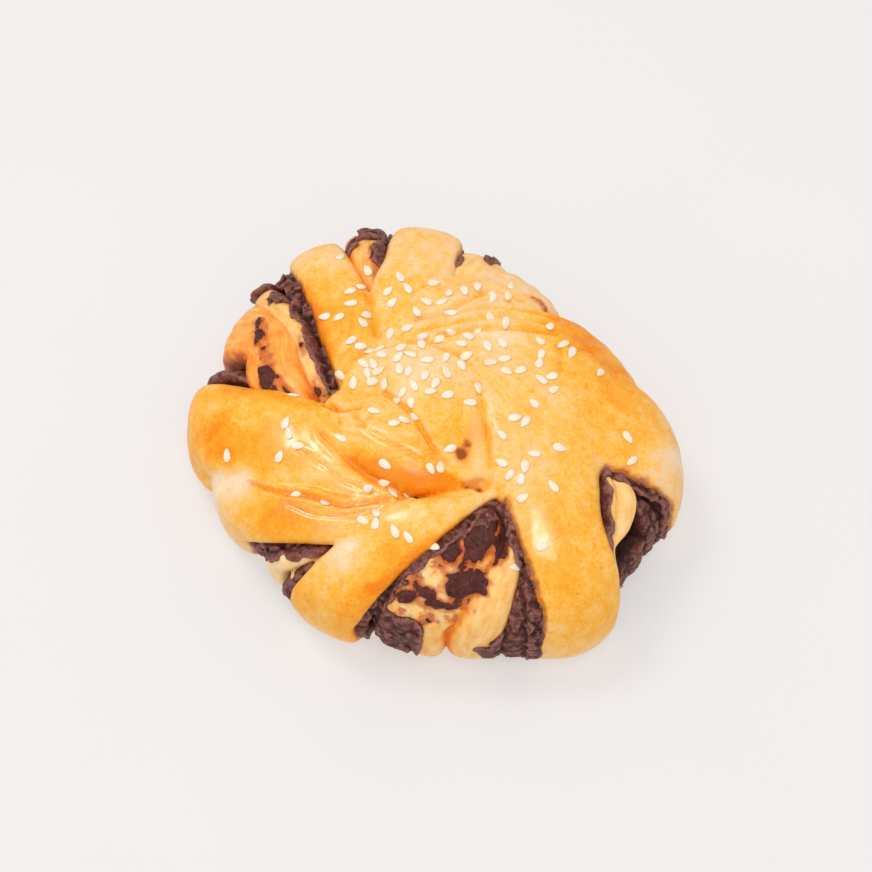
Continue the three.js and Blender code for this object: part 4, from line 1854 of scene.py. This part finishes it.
    def build(self, values: np.ndarray) -> bpy.types.Object:
        """Makes the piece from the paste's signed distances on the grid.

        Args:
            values: The distances.

        Returns:
            The paste.
        """
        shape = self.block.net(values)
        shape.relax(1)
        # Crest lightens the crumb tops and sunk darkens the paste deep in the gaps: painted light and shade.
        shape.numbers["crest"] = smooth_step(0.06, -0.06, shape.hollows(2))
        depth = self.block.dome.settle(shape.vertices)[2]
        shape.numbers["sunk"] = smooth_step(*self.recess_shade_depths, depth)
        return shape.build(PieceName.PASTE, self.finish.material(), floor_cut=True)


@dataclass(frozen=True)
class Drift:
    """A sprinkling of seeds: its middle, spread along x and y, and count."""

    x: float
    y: float
    spread_x: float
    spread_y: float
    count: int


@dataclass
class SesameSeeds:
    """Sesame seeds on the crust, thickest on the knot."""

    ground: tuple[bpy.types.Object, ...]
    finish: SeedFinish = SeedFinish()
    length: float = 3.25
    width: float = 1.9
    thickness: float = 0.8
    point: float = 0.32
    segments: int = 10
    rings: int = 7
    sunk: float = 0.2
    clearance: float = 2.3
    seed: int = 17
    drifts: tuple[Drift, ...] = (
        Drift(-8, 8, 6.0, 4.2, 34), Drift(13, 9, 5.0, 4.0, 10), Drift(-3, -7, 4.5, 4.0, 9),
        Drift(-14, -22, 8.0, 3.5, 7), Drift(3, 26, 11.0, 6.0, 20), Drift(-19, 24, 5.0, 8.0, 7),
        Drift(22, -14, 3.6, 9.0, 13), Drift(27, 8, 4.0, 6.0, 8), Drift(-33, -6, 8.0, 6.0, 5),
        Drift(-8, -33, 7.0, 4.0, 6), Drift(36, 2, 9.0, 12.0, 3), Drift(0, 0, 28.0, 28.0, 6),
    )

    def build(self) -> bpy.types.Object:
        """Makes the piece by a node tree that sets a seed on each point.

        Returns:
            The seeds.
        """
        points = self._points()
        mesh = bpy.data.meshes.new(PieceName.SEEDS.value)
        mesh.from_pydata([tuple(p["place"]) for p in points], [], [])
        for key, kind in (("facing", "FLOAT_VECTOR"), ("size", "FLOAT_VECTOR"), ("heading", "FLOAT")):
            held = mesh.attributes.new(key, kind, "POINT").data
            flat = np.array([p[key] for p in points], np.float32).ravel()
            held.foreach_set("vector" if kind == "FLOAT_VECTOR" else "value", flat)
        piece = bpy.data.objects.new(PieceName.SEEDS.value, mesh)
        bpy.context.scene.collection.objects.link(piece)
        material = self.finish.material()
        modifier = piece.modifiers.new("seeds", "NODES")
        tree, identifiers = self._tree(material)
        modifier.node_group = tree
        half = (self.length * MM / 2, self.width * MM / 2, self.thickness * MM / 2)
        modifier[identifiers["Half Sizes"]] = half
        modifier[identifiers["Point"]] = self.point
        modifier[identifiers["Segments"]] = self.segments
        modifier[identifiers["Rings"]] = self.rings
        evaluated = piece.evaluated_get(bpy.context.evaluated_depsgraph_get())
        made = bpy.data.meshes.new_from_object(evaluated)
        piece.modifiers.remove(modifier)
        piece.data = made
        if not made.materials:
            made.materials.append(material)
        return piece

    def _points(self) -> list[dict[str, Any]]:
        """Places, facings, headings and sizes of the seeds that lie clear of each other.

        Returns:
            A row for each seed.
        """
        draw = np.random.RandomState(self.seed)
        down = Vector((0, 0, -1))
        trees = [BVHTree.FromObject(o, bpy.context.evaluated_depsgraph_get()) for o in self.ground]
        points = []
        for drift in self.drifts:
            wanted = drift.count
            for _ in range(drift.count * 12):
                if not wanted:
                    break
                x, y = draw.normal((drift.x, drift.y), (drift.spread_x, drift.spread_y))
                size = tuple(draw.uniform((0.9, 0.88, 0.9), (1.1, 1.1, 1.15)))
                heading = draw.uniform(0, 2 * math.pi)
                start = Vector((np.array((x, y, 80.0)) + SWIRL_MIDDLE) * MM)
                hits = [hit for hit in (tree.ray_cast(start, down) for tree in trees) if hit[0]]
                if not hits:
                    continue
                place, facing, _, _ = max(hits, key=lambda hit: hit[0].z)
                crowded = any((p["place"] - place).length < self.clearance * MM for p in points)
                if crowded or facing.z < 0.5:
                    continue
                lift = facing * (self.thickness / 2 - self.sunk) * MM
                points.append({"place": place + lift, "facing": facing, "heading": heading, "size": size})
                wanted -= 1
        return points

    def _tree(self, material: bpy.types.Material) -> tuple[bpy.types.NodeTree, dict[str, str]]:
        """The node tree that makes the seeds.

        Args:
            material: The seeds' finish.

        Returns:
            The tree, and the identifiers of its inputs by name.
        """
        tree = bpy.data.node_groups.new("sesame_seeds", "GeometryNodeTree")
        sockets = {}
        for name, kind in (
            ("Geometry", "NodeSocketGeometry"), ("Half Sizes", "NodeSocketVector"),
            ("Point", "NodeSocketFloat"),
            ("Segments", "NodeSocketInt"), ("Rings", "NodeSocketInt"),
        ):
            sockets[name] = tree.interface.new_socket(name=name, in_out="INPUT", socket_type=kind).identifier
        tree.interface.new_socket(name="Geometry", in_out="OUTPUT", socket_type="NodeSocketGeometry")
        given = tree.nodes.new("NodeGroupInput").outputs

        def add(kind: str, settings: dict[str, Any], inputs: dict[str | int, Any]) -> bpy.types.Node:
            """Adds a node, with its settings first and then its inputs.

            Args:
                kind: The node's type.
                settings: Its properties.
                inputs: Values or sockets, by name or number.

            Returns:
                The node.
            """
            made = tree.nodes.new(kind)
            for key, setting in settings.items():
                setattr(made, key, setting)
            for key, source in inputs.items():
                if isinstance(source, bpy.types.NodeSocket):
                    tree.links.new(source, made.inputs[key])
                else:
                    made.inputs[key].default_value = source
            return made

        def named(name: str, kind: str) -> bpy.types.NodeSocket:
            """A number or vector that the points hold."""
            held = add("GeometryNodeInputNamedAttribute", {"data_type": kind}, {"Name": name})
            return held.outputs["Attribute"]

        fineness = {"Segments": given["Segments"], "Rings": given["Rings"]}
        ball = add("GeometryNodeMeshUVSphere", {}, {**fineness, "Radius": 1.0})
        spot = add("ShaderNodeSeparateXYZ", {}, {0: add("GeometryNodeInputPosition", {}, {}).outputs[0]})
        narrow = add("ShaderNodeMath", {"operation": "MULTIPLY"}, {0: spot.outputs["X"], 1: given["Point"]})
        taper = add("ShaderNodeMath", {"operation": "SUBTRACT"}, {0: 1.0, 1: narrow.outputs[0]})
        slim = add("ShaderNodeMath", {"operation": "MULTIPLY"}, {0: spot.outputs["Y"], 1: taper.outputs[0]})
        drop = add("ShaderNodeCombineXYZ", {}, {
            "X": spot.outputs["X"], "Y": slim.outputs[0], "Z": spot.outputs["Z"],
        })
        sized = add("ShaderNodeVectorMath", {"operation": "MULTIPLY"}, {
            0: drop.outputs[0], 1: given["Half Sizes"],
        })
        shaped = add("GeometryNodeSetPosition", {}, {
            "Geometry": ball.outputs["Mesh"], "Position": sized.outputs[0],
        })
        smooth = add("GeometryNodeSetShadeSmooth", {}, {"Geometry": shaped.outputs[0]})
        upright = add("FunctionNodeAlignRotationToVector", {"axis": "Z"}, {
            "Vector": named("facing", "FLOAT_VECTOR"),
        })
        spin = add("FunctionNodeAxisAngleToRotation", {}, {
            "Axis": (0, 0, 1), "Angle": named("heading", "FLOAT"),
        })
        turned = add("FunctionNodeRotateRotation", {"rotation_space": "LOCAL"}, {
            "Rotation": upright.outputs[0], "Rotate By": spin.outputs[0],
        })
        spots = add("GeometryNodeMeshToPoints", {}, {"Mesh": given["Geometry"]})
        placed = add("GeometryNodeInstanceOnPoints", {}, {
            "Points": spots.outputs[0], "Instance": smooth.outputs[0], "Rotation": turned.outputs[0],
            "Scale": named("size", "FLOAT_VECTOR"),
        })
        real = add("GeometryNodeRealizeInstances", {}, {"Geometry": placed.outputs[0]})
        dressed = add("GeometryNodeSetMaterial", {}, {"Geometry": real.outputs[0], "Material": material})
        add("NodeGroupOutput", {}, {"Geometry": dressed.outputs[0]})
        return tree, sockets


@dataclass(frozen=True)
class Lamp:
    """A round soft box that faces the bun: its name, place, width and power."""

    name: str
    place: tuple[float, float, float]
    width: float
    power: float


@dataclass
class Studio:
    """Pale floor, soft light from the left and from above, and the camera."""

    floor_half: float = 1.5
    floor_finish: FloorFinish = FloorFinish()
    elevation: float = 62.0
    distance: float = 0.75
    target: tuple[float, float, float] = (-0.000065, -0.00229, 0.02022)
    lens: float = 132.55
    sensor: float = 36.0
    sky: float = 0.7
    aim: tuple[float, float, float] = (0.0, 0.0, 0.02)
    lamps: tuple[Lamp, ...] = (
        Lamp("window", (-0.34, 0.2, 0.92), 0.34, 2.4),
        Lamp("skylight", (0.04, -0.3, 0.95), 0.26, 1.2),
        Lamp("soft_box", (-0.1, -0.8, 1.5), 1.6, 4.0),
    )

    def build(self) -> None:
        """Makes the floor, lights, world and camera."""
        self._floor()
        for lamp in self.lamps:
            self._light(lamp)
        self._world()
        self._camera()

    def _floor(self) -> None:
        """A plain floor under the bun."""
        half = self.floor_half
        mesh = bpy.data.meshes.new(PieceName.FLOOR.value)
        corners = [(-half, -half, 0), (half, -half, 0), (half, half, 0), (-half, half, 0)]
        mesh.from_pydata(corners, [], [(0, 1, 2, 3)])
        mesh.materials.append(self.floor_finish.material())
        floor = bpy.data.objects.new(PieceName.FLOOR.value, mesh)
        bpy.context.scene.collection.objects.link(floor)

    def _light(self, lamp: Lamp) -> None:
        """Sets up a lamp.

        Args:
            lamp: The lamp.
        """
        light = bpy.data.lights.new(lamp.name, "AREA")
        light.shape = "DISK"
        light.size = lamp.width
        light.energy = lamp.power
        holder = bpy.data.objects.new(lamp.name, light)
        holder.location = lamp.place
        heading = Vector(self.aim) - Vector(lamp.place)
        holder.rotation_euler = heading.to_track_quat("-Z", "Y").to_euler()
        bpy.context.scene.collection.objects.link(holder)

    def _world(self) -> None:
        """Even white light from all round, and plain colour handling."""
        world = bpy.data.worlds.new("white_room")
        world.use_nodes = True
        background = world.node_tree.nodes["Background"]
        background.inputs["Color"].default_value = (1.0, 1.0, 1.0, 1.0)
        background.inputs["Strength"].default_value = self.sky
        bpy.context.scene.world = world
        bpy.context.scene.view_settings.view_transform = "Standard"
        bpy.context.scene.view_settings.look = "None"

    def _camera(self) -> None:
        """The camera, looking down at the bun from the front."""
        lens = bpy.data.cameras.new("camera")
        lens.lens = self.lens
        lens.sensor_width = self.sensor
        lens.clip_start = 0.05
        camera = bpy.data.objects.new("camera", lens)
        tilt = math.radians(self.elevation)
        back = Vector((0, -math.cos(tilt), math.sin(tilt)))
        camera.location = Vector(self.target) + back * self.distance
        camera.rotation_euler = (-back).to_track_quat("-Z", "Y").to_euler()
        bpy.context.scene.collection.objects.link(camera)
        bpy.context.scene.camera = camera


def enlist(piece: bpy.types.Object, slot: str | None, *nodes: str) -> None:
    """Sets a piece on the bun's body and reports it.

    Args:
        piece: The piece.
        slot: The record's material slot, where it has one. It is not used.
        nodes: The solids that it stands for.
    """
    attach(piece, "root")
    if nodes:
        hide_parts(*nodes)
    triangles = sum(len(p.vertices) - 2 for p in piece.data.polygons)
    log.info("%s: %d triangles", piece.name, triangles)


def main() -> None:
    """Builds the bun and the studio."""
    logging.basicConfig(level=logging.INFO, format="%(name)s %(message)s")
    dome = Dome()
    coarse, fine = VoxelBlock(dome, CRUST_STEP), VoxelBlock(dome, GAP_STEP)
    crust, folds, paste = Crust(coarse), InnerFolds(fine), BeanPaste(fine)
    solid = crust.distance()
    gaps = fine.cloud(coarse.finer_mask(crust.gaps(solid), fine))
    walls = coarse.between(solid, gaps.points)
    inner = folds.distance(gaps)
    filling = fine.fill(gaps, paste.distance(gaps, walls, inner, crust.straps), FAR)
    crust_piece = crust.build(solid, lambda points: fine.between(filling, points))
    fold_piece = folds.build(gaps, inner, walls)
    paste_piece = paste.build(filling)
    seed_piece = SesameSeeds((crust_piece, fold_piece, paste_piece)).build()
    enlist(crust_piece, "glazed_dough", "dough")
    enlist(fold_piece, "glazed_dough", "dough")
    enlist(paste_piece, "bean_paste", "bean_paste")
    enlist(seed_piece, None, "dough")
    Studio().build()


if __name__ == "__main__":
    main()
